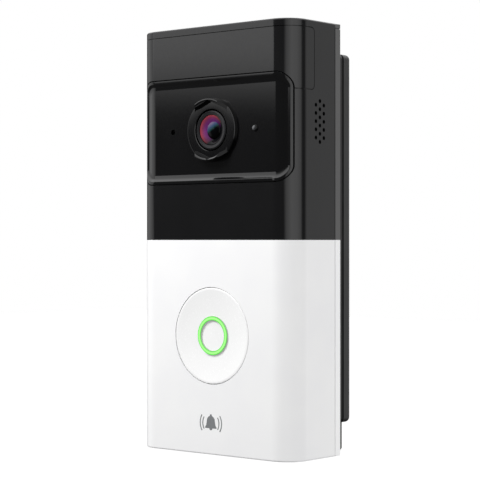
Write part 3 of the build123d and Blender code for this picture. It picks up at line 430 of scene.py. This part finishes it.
def aboutAxis(tree, place, centre):
    # distance from a front-to-back axis through centre, and the sideways and upward parts
    shifted = addNode(tree, "ShaderNodeMapping", {"Location": (-centre[0], 0, -centre[1])}, {"Vector": place})
    part = addNode(tree, "ShaderNodeSeparateXYZ", links={"Vector": shifted.outputs["Vector"]})
    flat = addNode(
        tree, "ShaderNodeCombineXYZ", links={"X": part.outputs["X"], "Z": part.outputs["Z"]}
    ).outputs["Vector"]
    radius = addNode(
        tree, "ShaderNodeVectorMath", {"operation": "LENGTH"}, {0: flat}
    ).outputs["Value"]
    return radius, part.outputs["X"], part.outputs["Z"]


turningSet = {"pitch": 0.22, "depth": 0.0015, "dark": "#262628", "colour": "#2e2e30"}


def turnedGreyAluminium():
    # anodised lens barrel: dark grey metal with the fine rings that a lathe leaves
    material, tree, shader, place = newMaterial(
        "turnedGreyAluminium", {"Metallic": 0.55, "Roughness": 0.36}
    )
    radius = aboutAxis(tree, place, (0, lensSet["z"]))[0]
    turns = addNode(
        tree, "ShaderNodeMath",
        {"operation": "MULTIPLY", 1: 2 * math.pi / (turningSet["pitch"] * mm)}, {0: radius},
    ).outputs[0]
    ridge = addNode(tree, "ShaderNodeMath", {"operation": "SINE"}, {0: turns}).outputs[0]
    share = addNode(tree, "ShaderNodeMapRange", {"From Min": -1.0}, {"Value": ridge}).outputs["Result"]
    tint = addNode(tree, "ShaderNodeValToRGB", links={"Fac": share})
    rampColours(tint, [(0.0, turningSet["dark"]), (1.0, turningSet["colour"])])
    tree.links.new(tint.outputs["Color"], shader.inputs["Base Color"])
    bump = addNode(tree, "ShaderNodeBump", {"Distance": turningSet["depth"] * mm}, {"Height": ridge})
    tree.links.new(bump.outputs["Normal"], shader.inputs["Normal"])
    return material


coatSet = {
    # from the middle of the bowl out to its rim
    "bowl": [
        (0.0, "#5a2668"), (0.60, "#6a2c70"), (0.72, "#80387a"), (0.85, "#8c3a58"), (0.94, "#943c46"),
        (1.0, "#4a181c"),
    ],
    # painted highlight and shade: the coat keeps its colours toward the upper left and fades into painted
    # shade toward the lower right, over a reach to each side
    "slope": -1.1, "reach": 6.0 * mm, "paintedShade": "#0c0d0f",
    "glow": [(0.30, "#000000"), (0.36, "#707070"), (0.5, "#a8a8a8"), (0.75, "#ffffff")],
    # the dome has its own painted reflection, a sweep of colour from the upper left, black past the middle
    "domeSlope": -0.6, "domeReach": (-2.4 * mm, 2.6 * mm),
    "dome": [(0.0, "#040405"), (0.46, "#060709"), (0.56, "#123030"), (0.74, "#2a3f5c"), (1.0, "#64586e")],
    # where the dome's edge fades, as shares of its radius
    "domeEdge": (0.98, 0.94),
}


def coatedGlass():
    # crown glass with a magenta anti-reflection coat over a dark barrel: red at the rim, violet inward,
    # painted lighter to the upper left and into painted shade to the lower right, and a smaller dome in the
    # middle with a painted reflection, lavender above and teal to the left of its dark pupil
    material, tree, shader, place = newMaterial("coatedGlass", {"Roughness": 0.06, "IOR": 1.18})
    radius, across, up = aboutAxis(tree, place, (0, lensSet["z"]))
    share = addNode(
        tree, "ShaderNodeMapRange", {"From Max": lensSet["glassRadius"]}, {"Value": radius}
    ).outputs["Result"]
    tint = addNode(tree, "ShaderNodeValToRGB", links={"Fac": share})
    rampColours(tint, coatSet["bowl"])
    # painted highlight: a slope from the lower right to the upper left sets how much of the coat's colour
    # shows, the rest is painted shade
    slope = addNode(
        tree, "ShaderNodeMath", {"operation": "MULTIPLY_ADD", 1: coatSet["slope"]}, {0: across, 2: up}
    ).outputs[0]
    paintedHighlightShare = addNode(
        tree, "ShaderNodeMapRange", {"From Min": -coatSet["reach"], "From Max": coatSet["reach"]},
        {"Value": slope},
    ).outputs["Result"]
    glow = addNode(tree, "ShaderNodeValToRGB", links={"Fac": paintedHighlightShare})
    rampColours(glow, coatSet["glow"])
    bowl = addNode(
        tree, "ShaderNodeMix", {"data_type": "RGBA", 6: hexLinear(coatSet["paintedShade"])},
        {0: glow.outputs["Color"], 7: tint.outputs["Color"]},
    ).outputs[2]
    # painted reflection on the dome: coloured toward the upper left, black past the middle
    domeSlope = addNode(
        tree, "ShaderNodeMath", {"operation": "MULTIPLY_ADD", 1: coatSet["domeSlope"]}, {0: across, 2: up}
    ).outputs[0]
    low, high = coatSet["domeReach"]
    dome = addNode(
        tree, "ShaderNodeMapRange", {"From Min": low, "From Max": high}, {"Value": domeSlope}
    ).outputs["Result"]
    domePaintedReflection = addNode(tree, "ShaderNodeValToRGB", links={"Fac": dome})
    rampColours(domePaintedReflection, coatSet["dome"])
    outer, within = [lensSet["domeRadius"] * share for share in coatSet["domeEdge"]]
    inner = addNode(
        tree, "ShaderNodeMapRange", {"From Min": outer, "From Max": within}, {"Value": radius}
    ).outputs["Result"]
    mixed = addNode(
        tree, "ShaderNodeMix", {"data_type": "RGBA"}, {0: inner, 6: bowl, 7: domePaintedReflection.outputs["Color"]}
    ).outputs[2]
    tree.links.new(mixed, shader.inputs["Base Color"])
    return material


def clearGlass():
    # crown glass, uncoated: clear with a faint green edge
    material, tree, shader, place = newMaterial(
        "clearGlass", {"Roughness": 0.02, "IOR": 1.52, "Transmission Weight": 0.9}
    )
    cloudSize = 3.0 * mm
    cloud = addNode(tree, "ShaderNodeTexNoise", {"Scale": 1 / cloudSize}, {"Vector": place})
    tint = addNode(tree, "ShaderNodeValToRGB", links={"Fac": cloud.outputs["Fac"]})
    rampColours(tint, [(0.3, "#e3efe9"), (0.7, "#f1f7f5")])
    tree.links.new(tint.outputs["Color"], shader.inputs["Base Color"])
    return material


# in mm: track spacing, glass weave, and how far each stands
boardSet = {
    "trackPitch": 1.27, "weave": 0.35, "trackDepth": 0.01, "weaveDepth": 0.003,
    "mask": "#1f5a37", "darkMask": "#1a4c2f", "track": "#2f7a4b",
}


def solderMask():
    # FR4 board: green mask over straight copper tracks on a 1.27 mm grid, glass weave just showing
    material, tree, shader, place = newMaterial("solderMask", {"Roughness": 0.38, "IOR": 1.5})
    upright = addNode(
        tree, "ShaderNodeMapping", {"Rotation": (math.radians(90), 0, 0)}, {"Vector": place}
    ).outputs["Vector"]
    tracks = addNode(
        tree, "ShaderNodeTexBrick",
        {
            "Color1": hexLinear(boardSet["mask"]), "Color2": hexLinear(boardSet["darkMask"]),
            "Mortar": hexLinear(boardSet["track"]), "Scale": 1 / (boardSet["trackPitch"] * mm),
            "Mortar Size": 0.12, "Brick Width": 5.0,
        },
        {"Vector": upright},
    )
    tree.links.new(tracks.outputs["Color"], shader.inputs["Base Color"])
    weave = addNode(tree, "ShaderNodeTexNoise", {"Scale": 1 / (boardSet["weave"] * mm)}, {"Vector": place})
    bump = addNode(
        tree, "ShaderNodeBump", {"Distance": boardSet["trackDepth"] * mm}, {"Height": tracks.outputs["Fac"]}
    )
    fine = addNode(
        tree, "ShaderNodeBump", {"Distance": boardSet["weaveDepth"] * mm},
        {"Height": weave.outputs["Fac"], "Normal": bump.outputs["Normal"]},
    )
    tree.links.new(fine.outputs["Normal"], shader.inputs["Normal"])
    return material


guideSet = {
    # the core's soft edge, and its painted highlight, a sweep from the lower right to the upper left
    "coreEdge": (0.72 * mm, 0.62 * mm), "slope": -1.3, "reach": 0.9 * mm, "rim": "#121213",
    "core": [(0.0, "#1c1c1e"), (0.4, "#2f3032"), (0.75, "#6a6b6d"), (1.0, "#77787a")],
}


def lightGuide():
    # acrylic light guide: a grey core with a painted highlight, paler to the upper left, inside a dark rim
    material, tree, shader, place = newMaterial("lightGuide", {"Roughness": 0.1, "IOR": 1.49})
    radius, across, up = aboutAxis(tree, place, (lensSet["eyeX"], lensSet["z"]))
    outer, within = guideSet["coreEdge"]
    core = addNode(
        tree, "ShaderNodeMapRange", {"From Min": outer, "From Max": within}, {"Value": radius}
    ).outputs["Result"]
    # painted highlight: the core is paler toward the upper left
    slope = addNode(
        tree, "ShaderNodeMath", {"operation": "MULTIPLY_ADD", 1: guideSet["slope"]}, {0: across, 2: up}
    ).outputs[0]
    share = addNode(
        tree, "ShaderNodeMapRange", {"From Min": -guideSet["reach"], "From Max": guideSet["reach"]},
        {"Value": slope},
    ).outputs["Result"]
    tint = addNode(tree, "ShaderNodeValToRGB", links={"Fac": share})
    rampColours(tint, guideSet["core"])
    mixed = addNode(
        tree, "ShaderNodeMix", {"data_type": "RGBA", 6: hexLinear(guideSet["rim"])},
        {0: core, 7: tint.outputs["Color"]},
    ).outputs[2]
    tree.links.new(mixed, shader.inputs["Base Color"])
    return material


# line spacing and depth in mm; a wave texture of scale 1 has about three bands to the metre
filmSet = {"linePitch": 0.5, "depth": 0.004, "bandsPerScale": 3}


def polyimideFilm():
    # flexible circuit: amber film with copper lines along it
    material, tree, shader, place = newMaterial("polyimideFilm", {"Roughness": 0.3, "IOR": 1.6})
    scale = 1 / (filmSet["linePitch"] * mm) / filmSet["bandsPerScale"]
    lines = addNode(
        tree, "ShaderNodeTexWave", {"Scale": scale, "Distortion": 0.0, "bands_direction": "X"},
        {"Vector": place},
    )
    tint = addNode(tree, "ShaderNodeValToRGB", links={"Fac": lines.outputs["Fac"]})
    rampColours(tint, [(0.4, "#a3601c"), (0.6, "#c98a3c")])
    tree.links.new(tint.outputs["Color"], shader.inputs["Base Color"])
    bump = addNode(
        tree, "ShaderNodeBump", {"Distance": filmSet["depth"] * mm}, {"Height": lines.outputs["Fac"]}
    )
    tree.links.new(bump.outputs["Normal"], shader.inputs["Normal"])
    return material


def sensorGlass():
    # image sensor under its cover glass: near black with a faint green and magenta painted sheen, darkest at
    # the edge
    material, tree, shader, place = newMaterial("sensorGlass", {"Roughness": 0.1, "IOR": 1.52})
    radius = aboutAxis(tree, place, (0, lensSet["z"]))[0]
    halfDiagonal = 4.0 * mm
    share = addNode(
        tree, "ShaderNodeMapRange", {"From Max": halfDiagonal}, {"Value": radius}
    ).outputs["Result"]
    # painted sheen: green in the middle, magenta further out, darkest at the edge
    tint = addNode(tree, "ShaderNodeValToRGB", links={"Fac": share})
    rampColours(tint, [(0.0, "#1c2e2a"), (0.6, "#241c30"), (1.0, "#101013")])
    tree.links.new(tint.outputs["Color"], shader.inputs["Base Color"])
    return material


meshSet = {"pitch": 0.3, "depth": 0.02, "dark": "#0c0c0d", "colour": "#1c1c1e"}


def wovenMesh():
    # acoustic cloth behind the grille, woven at 0.16 mm, drawn at 0.3 mm so that it shows
    material, tree, shader, place = newMaterial("wovenMesh", {"Roughness": 0.8})
    weave = addNode(
        tree, "ShaderNodeTexChecker",
        {
            "Scale": 1 / (meshSet["pitch"] * mm),
            "Color1": hexLinear(meshSet["dark"]), "Color2": hexLinear(meshSet["colour"]),
        },
        {"Vector": place},
    )
    tree.links.new(weave.outputs["Color"], shader.inputs["Base Color"])
    bump = addNode(
        tree, "ShaderNodeBump", {"Distance": meshSet["depth"] * mm}, {"Height": weave.outputs["Fac"]}
    )
    tree.links.new(bump.outputs["Normal"], shader.inputs["Normal"])
    return material


ringSet = {
    # height of the button's middle, radius to the ring's crest and half its width
    "z": -27.87 * mm, "middle": 5.08 * mm, "half": 0.67 * mm, "glow": 0.42,
    # from the crest out to either edge
    "colours": [
        (0.0, "#a2ff8a"), (0.28, "#90f07a"), (0.62, "#56c642"), (0.82, "#4aa63c"), (0.93, "#94a090"),
        (1.0, "#a4aaa2"),
    ],
}


def litRing():
    # frosted light pipe lit from behind: pale along its crest, deeper green at both edges
    material, tree, shader, place = newMaterial(
        "litGreenRing", {"Roughness": 0.35, "IOR": 1.49, "Emission Strength": ringSet["glow"]}
    )
    radius = aboutAxis(tree, place, (0, ringSet["z"]))[0]
    offset = addNode(
        tree, "ShaderNodeMath", {"operation": "SUBTRACT", 1: ringSet["middle"]}, {0: radius}
    ).outputs[0]
    side = addNode(tree, "ShaderNodeMath", {"operation": "ABSOLUTE"}, {0: offset}).outputs[0]
    share = addNode(
        tree, "ShaderNodeMapRange", {"From Max": ringSet["half"]}, {"Value": side}
    ).outputs["Result"]
    tint = addNode(tree, "ShaderNodeValToRGB", links={"Fac": share})
    rampColours(tint, ringSet["colours"])
    tree.links.new(tint.outputs["Color"], shader.inputs["Base Color"])
    tree.links.new(tint.outputs["Color"], shader.inputs["Emission Color"])
    return material


slotMaterials = {
    "black_housing": moulded("polishedBlackAbs"),
    "white_faceplate": moulded("satinWhiteAsa"),
    "smoked_window": moulded("smokedPolycarbonate"),
    "black_bezel": moulded("lacqueredBlackAbs"),
    "black_hood": moulded("satinBlackAbs"),
    "lens_barrel_grey": turnedGreyAluminium(),
    "coated_glass": coatedGlass(),
    "clear_glass": clearGlass(),
    "blackened_metal": plated("blackAnodised"),
    "black_inner_plastic": moulded("blackNylon"),
    "magnet": plated("nickelledMagnet"),
    "copper": plated("bareCopper"),
    "sensor_glass": sensorGlass(),
    "circuit_board": solderMask(),
    "flex_circuit": polyimideFilm(),
    "plated_steel": plated("nickelPlatedSteel"),
    "black_rubber": moulded("blackFoamRubber"),
    "light_pipe_clear": lightGuide(),
    "chip_black": moulded("chipEpoxy"),
    "component_dark": moulded("componentSleeve"),
    "connector_ivory": moulded("ivoryNylon"),
    "led_clear": moulded("ledEpoxy"),
    "speaker_film": moulded("formedFilm"),
    "acoustic_mesh": wovenMesh(),
    "white_button": moulded("polishedWhiteAsa"),
    "green_light_ring": litRing(),
    "silicone_seal": moulded("greySilicone"),
    "chassis_plastic": moulded("glassFilledNylon"),
    "brass_contact": plated("stampedBrass"),
    "terminal_steel": plated("zincPlatedSteel"),
    "bracket_plastic": moulded("erodedGreyAbs"),
}

for entry in frame["record"]["subparts"]:
    thing = nodes[entry["node"]]
    for spot in thing.material_slots:
        spot.material = slotMaterials[entry["material_slot"]]
print("materials given to", len(nodes), "solids")


# Pieces that only need looks. A seed is the tiny plane that is merged to one point before it is drawn out;
# roundSteps is how many sides a turned shape has.
seedSize = 1 * mm
roundSteps = 96
mergeGap = 0.002 * mm


def pick(piece):
    bpy.ops.object.select_all(action="DESELECT")
    piece.select_set(True)
    bpy.context.view_layer.objects.active = piece


def startEditing(piece):
    pick(piece)
    bpy.ops.object.mode_set(mode="EDIT")


def cutWith(piece, cutter, operation):
    pick(piece)
    cut = piece.modifiers.new("cut", "BOOLEAN")
    cut.object = cutter
    cut.operation = operation
    bpy.ops.object.modifier_apply(modifier=cut.name)
    bpy.data.objects.remove(cutter)


def drawOut(spots):
    # the selected seed is moved to the first of the spots and then drawn out through the rest
    at = Vector((0, 0, 0))
    for index, there in enumerate(spots):
        if index == 0:
            bpy.ops.transform.translate(value=there - at)
        else:
            bpy.ops.mesh.extrude_region_move(TRANSFORM_OT_translate={"value": there - at})
        at = there


def finishPiece(piece, name, body, material, angle=35.0):
    # place into the mesh, smooth over edges gentler than the angle, and onto its body
    if piece.mode == "EDIT":
        bpy.ops.object.mode_set(mode="OBJECT")
    piece.name = name
    piece.data.name = name
    bpy.ops.object.transform_apply(location=True, rotation=True, scale=True)
    for modifier in list(piece.modifiers):
        bpy.ops.object.modifier_apply(modifier=modifier.name)
    bpy.ops.object.shade_smooth_by_angle(angle=math.radians(angle))
    even = piece.modifiers.new("even", "WEIGHTED_NORMAL")
    even.keep_sharp = True
    bpy.ops.object.modifier_apply(modifier=even.name)
    piece.data.materials.clear()
    piece.data.materials.append(material)
    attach(piece, body)


def spunPiece(profile):
    # a profile of (radius, depth behind the front face) in mm, turned about the lens axis
    centre = Vector((0, frontFace, lensSet["z"]))
    bpy.ops.object.select_all(action="DESELECT")
    bpy.ops.mesh.primitive_plane_add(size=seedSize)
    piece = bpy.context.object
    startEditing(piece)
    bpy.ops.mesh.select_all(action="SELECT")
    bpy.ops.mesh.merge(type="CENTER")
    drawOut([centre + Vector((radius * mm, depth * mm, 0)) for radius, depth in profile])
    bpy.ops.mesh.select_all(action="SELECT")
    bpy.ops.mesh.spin(steps=roundSteps, angle=2 * math.pi, center=centre, axis=(0, 1, 0))
    bpy.ops.mesh.select_all(action="SELECT")
    bpy.ops.mesh.remove_doubles(threshold=mergeGap)
    bpy.ops.mesh.normals_make_consistent(inside=False)
    return piece


bezelSet = {
    "cornerRadius": 4.5 * mm, "cornerSteps": 14, "turnRadius": 6.9 * mm, "thickness": 0.9 * mm,
    # in mm, the width of each step in from the edge, and how far it goes back there
    "steps": [
        (0.06, -0.16), (0.08, -0.07), (0.74, -0.01), (0.10, 0.03), (0.10, 0.08), (0.45, 0.46),
        (0.40, 0.15), (0.62, 0.10), (0.12, 0.02), (0.10, 0.00),
    ],
    "edgeDrop": 0.25 * mm,
    # cuts across the plate from just before each corner on, so that it wraps smoothly
    "cuts": (-0.1, 0.0, 0.6, 1.2, 1.8, 2.4, 3.0, 3.6, 4.2, 4.8, 5.4, 6.0, 6.6),
    # microphone, light guide and lens: how far across, and the hole's radius
    "holes": [(-lensSet["eyeX"], 0.8 * mm), (lensSet["eyeX"], 0.78 * mm), (0.0, 7.05 * mm)],
    "holeSides": 64, "cutterLength": 8 * mm, "smooth": 28.0,
}


def makeBezel():
    # laid out flat with its stepped edge, then wrapped round the two front corners
    low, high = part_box("camera_bezel")
    turn = bezelSet["turnRadius"]
    flat = rightFace - turn  # the front is flat as far as this to each side
    bpy.ops.object.select_all(action="DESELECT")
    middle = (0, frontFace, (low[2] + high[2]) / 2)
    bpy.ops.mesh.primitive_plane_add(size=1.0, location=middle, rotation=(math.radians(90), 0, 0))
    piece = bpy.context.object
    piece.scale = (high[0] - low[0], high[2] - low[2], 1)
    bpy.ops.object.transform_apply(location=True, rotation=True, scale=True)
    startEditing(piece)
    bpy.ops.mesh.select_all(action="SELECT")
    bpy.ops.mesh.bevel(
        offset=bezelSet["cornerRadius"], segments=bezelSet["cornerSteps"], affect="VERTICES"
    )
    bpy.ops.object.mode_set(mode="OBJECT")
    for vertex in piece.data.vertices:
        # unroll the corners
        beyond = abs(vertex.co.x) - flat
        if beyond > 0:
            vertex.co.x = math.copysign(flat + turn * math.asin(min(beyond / turn, 1.0)), vertex.co.x)
        vertex.co.y = frontFace + bezelSet["edgeDrop"]
    bpy.ops.object.mode_set(mode="EDIT")
    bpy.ops.mesh.select_all(action="SELECT")
    for width, back in bezelSet["steps"]:
        bpy.ops.mesh.inset(thickness=width * mm, depth=-back * mm)
    for side in (-1, 1):
        for step in bezelSet["cuts"]:
            bpy.ops.mesh.select_all(action="SELECT")
            cut = side * (flat + step * mm)
            bpy.ops.mesh.bisect(plane_co=(cut, 0, 0), plane_no=(1, 0, 0))
    bpy.ops.object.mode_set(mode="OBJECT")
    for vertex in piece.data.vertices:
        # roll the corners up again
        beyond = abs(vertex.co.x) - flat
        if beyond > 0:
            angle = beyond / turn
            radius = turn - (vertex.co.y - frontFace)
            vertex.co.x = math.copysign(flat + radius * math.sin(angle), vertex.co.x)
            vertex.co.y = frontFace + turn - radius * math.cos(angle)
    wall = piece.modifiers.new("wall", "SOLIDIFY")
    wall.thickness = bezelSet["thickness"]
    wall.offset = -1
    bpy.ops.object.modifier_apply(modifier="wall")
    for across, radius in bezelSet["holes"]:
        bpy.ops.object.select_all(action="DESELECT")
        bpy.ops.mesh.primitive_cylinder_add(
            vertices=bezelSet["holeSides"], radius=radius, depth=bezelSet["cutterLength"],
            location=(across, frontFace, lensSet["z"]), rotation=(math.radians(90), 0, 0),
        )
        cutWith(piece, bpy.context.object, "DIFFERENCE")
    finishPiece(
        piece, "cameraBezelShell", "unit", slotMaterials["black_bezel"], bezelSet["smooth"]
    )
    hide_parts("camera_bezel")


glassSet = {
    # a coated bowl sloping in to a smaller dome, as (radius, depth) in mm
    "profile": [
        (4.42, 0.75), (4.42, 0.0), (4.32, -0.05), (4.15, 0.0), (3.70, 0.30), (3.20, 0.74), (2.85, 1.08),
        (2.62, 1.18), (2.58, 1.08), (2.36, 0.84), (1.90, 0.58), (1.30, 0.40), (0.65, 0.32), (0.002, 0.30),
    ],
    "smooth": 50.0,
}


def makeLens():
    piece = spunPiece(glassSet["profile"])
    finishPiece(
        piece, "lensFrontCoated", "unit", slotMaterials["coated_glass"], glassSet["smooth"]
    )
    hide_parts("lens_front_element")


bellSet = {
    "across": -0.2, "z": -53.3, "proud": 0.02, "colour": "#7d7f81", "dark": "#77797b", "inkGrain": 0.4,
    # right half of the bell's outline from its knob down to its clapper, in mm about its middle
    "half": [
        (0.0, 2.6), (0.32, 2.5), (0.38, 2.1), (1.0, 1.82), (1.45, 1.2), (1.62, 0.2), (1.78, -0.62),
        (2.2, -1.2), (2.2, -1.5), (0.62, -1.5), (0.5, -1.86), (0.2, -2.06), (0.0, -2.1),
    ],
    # the arcs to each side: inner and outer radius in mm, and how far up and down they reach in degrees
    "ringing": [(2.95, 3.3), (3.95, 4.3)], "spread": 34.0, "steps": 10,
}


def greyPadPrint():
    # pad printed ink, thin and matt, a little uneven in its cover
    material, tree, shader, place = newMaterial("greyPadPrint", {"Roughness": 0.5})
    cover = addNode(
        tree, "ShaderNodeTexNoise", {"Scale": 1 / (bellSet["inkGrain"] * mm)}, {"Vector": place}
    )
    tint = addNode(tree, "ShaderNodeValToRGB", links={"Fac": cover.outputs["Fac"]})
    rampColours(tint, [(0.3, bellSet["dark"]), (0.7, bellSet["colour"])])
    tree.links.new(tint.outputs["Color"], shader.inputs["Base Color"])
    return material


def traceOutline(points):
    # one closed flat outline in the open edit, filled, from points (across, up) in mm
    bpy.ops.mesh.select_all(action="DESELECT")
    bpy.ops.mesh.primitive_plane_add(size=seedSize)
    bpy.ops.mesh.merge(type="CENTER")
    drawOut([Vector((across * mm, frontFace, up * mm)) for across, up in points])
    bpy.ops.mesh.select_linked()
    bpy.ops.mesh.edge_face_add()


def makeBell():
    half = bellSet["half"]
    outlines = [half + [(-across, up) for across, up in reversed(half[1:-1])]]
    for near, far in bellSet["ringing"]:
        for side in (-1, 1):
            turns = [
                math.radians(bellSet["spread"] * (2 * step / bellSet["steps"] - 1))
                for step in range(bellSet["steps"] + 1)
            ]
            inside = [(side * near * math.cos(a), near * math.sin(a)) for a in turns]
            outside = [(side * far * math.cos(a), far * math.sin(a)) for a in reversed(turns)]
            outlines.append(inside + outside)
    bpy.ops.object.select_all(action="DESELECT")
    bpy.ops.mesh.primitive_plane_add(size=seedSize)
    piece = bpy.context.object
    startEditing(piece)
    bpy.ops.mesh.select_all(action="SELECT")
    bpy.ops.mesh.delete(type="VERT")
    for outline in outlines:
        traceOutline([(bellSet["across"] + across, bellSet["z"] + up) for across, up in outline])
    bpy.ops.mesh.select_all(action="SELECT")
    bpy.ops.mesh.extrude_region_move(TRANSFORM_OT_translate={"value": (0, -bellSet["proud"] * mm, 0)})
    bpy.ops.mesh.select_all(action="SELECT")
    bpy.ops.mesh.normals_make_consistent(inside=False)
    finishPiece(piece, "printedBell", "unit", greyPadPrint())


hoodSet = {
    # the ring's outline as (radius, depth) in mm, with a rolled front edge and a sleeve behind it
    "ring": [
        (6.10, 0.0), (6.10, -0.22), (6.22, -0.35), (8.88, -0.35), (9.04, -0.30), (9.14, -0.18), (9.30, 0.93),
        (6.90, 0.93), (6.90, 2.6), (6.10, 2.6), (6.10, 0.0),
    ],
    # the two brows: their outline before the octagonal opening is cut
    "brow": [
        (6.60, 0.0), (6.60, -2.05), (8.70, -2.05), (8.86, -2.02), (9.00, -1.92), (9.06, -1.78), (9.16, 0.0),
        (6.60, 0.0),
    ],
    # the octagon's corner radius at the ring and near the front, then the round lead in
    "octagon": ((8.30, -0.35), (8.74, -2.06)),
    "leadIn": ((8.34, -1.76), (8.70, -2.04)),
    # where the brows end to the left and the right, at their front and at the ring
    "browEnds": {-1: (4.5, 6.5), 1: (3.4, 6.9)},
    # the block that keeps them: its size, and how far its middle stands before the front face
    "keep": (2 * mm, 2.4 * mm, 24 * mm), "keepForward": 1.1 * mm,
    # how far each opening's cutter starts behind its first corner and runs on past its last, in mm
    "cutStart": 0.02, "cutPast": 0.3, "smooth": 30.0,
}


def openingCutter(near, far, sides):
    # many sided cone between two (radius, depth) pairs, a corner straight up
    slope = (far[0] - near[0]) / (far[1] - near[1])
    depths = (near[1] + hoodSet["cutStart"], far[1] - hoodSet["cutPast"])
    radii = [near[0] + slope * (depth - near[1]) for depth in depths]
    bpy.ops.object.select_all(action="DESELECT")
    bpy.ops.mesh.primitive_cone_add(
        vertices=sides, radius1=radii[0] * mm, radius2=radii[1] * mm, depth=(depths[0] - depths[1]) * mm,
        location=(0, frontFace + sum(depths) / 2 * mm, lensSet["z"]), rotation=(math.radians(90), 0, 0),
    )
    return bpy.context.object


def makeHood():
    piece = spunPiece(hoodSet["ring"])
    bpy.ops.object.mode_set(mode="OBJECT")
    brows = spunPiece(hoodSet["brow"])
    bpy.ops.object.mode_set(mode="OBJECT")
    # keep what lies between two planes that lean outward toward the ring
    keepMiddle = frontFace - hoodSet["keepForward"]
    bpy.ops.object.select_all(action="DESELECT")
    bpy.ops.mesh.primitive_cube_add(size=1.0, location=(0, keepMiddle, lensSet["z"]))
    keep = bpy.context.object
    keep.scale = hoodSet["keep"]
    bpy.ops.object.transform_apply(location=True, rotation=True, scale=True)
    for vertex in keep.data.vertices:
        side = 1 if vertex.co.x > 0 else -1
        atFront, atRing = hoodSet["browEnds"][side]
        vertex.co.x = side * (atFront if vertex.co.y < keepMiddle else atRing) * mm
    cutWith(brows, keep, "INTERSECT")
    cutWith(brows, openingCutter(*hoodSet["octagon"], 8), "DIFFERENCE")
    cutWith(brows, openingCutter(*hoodSet["leadIn"], roundSteps), "DIFFERENCE")
    pick(piece)
    brows.select_set(True)
    bpy.ops.object.join()
    finishPiece(
        piece, "lensHoodShell", "unit", slotMaterials["black_hood"], hoodSet["smooth"]
    )
    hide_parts("lens_hood")


makeBezel()
makeHood()
makeLens()
makeBell()
print("bezel, hood, lens and printed bell made")
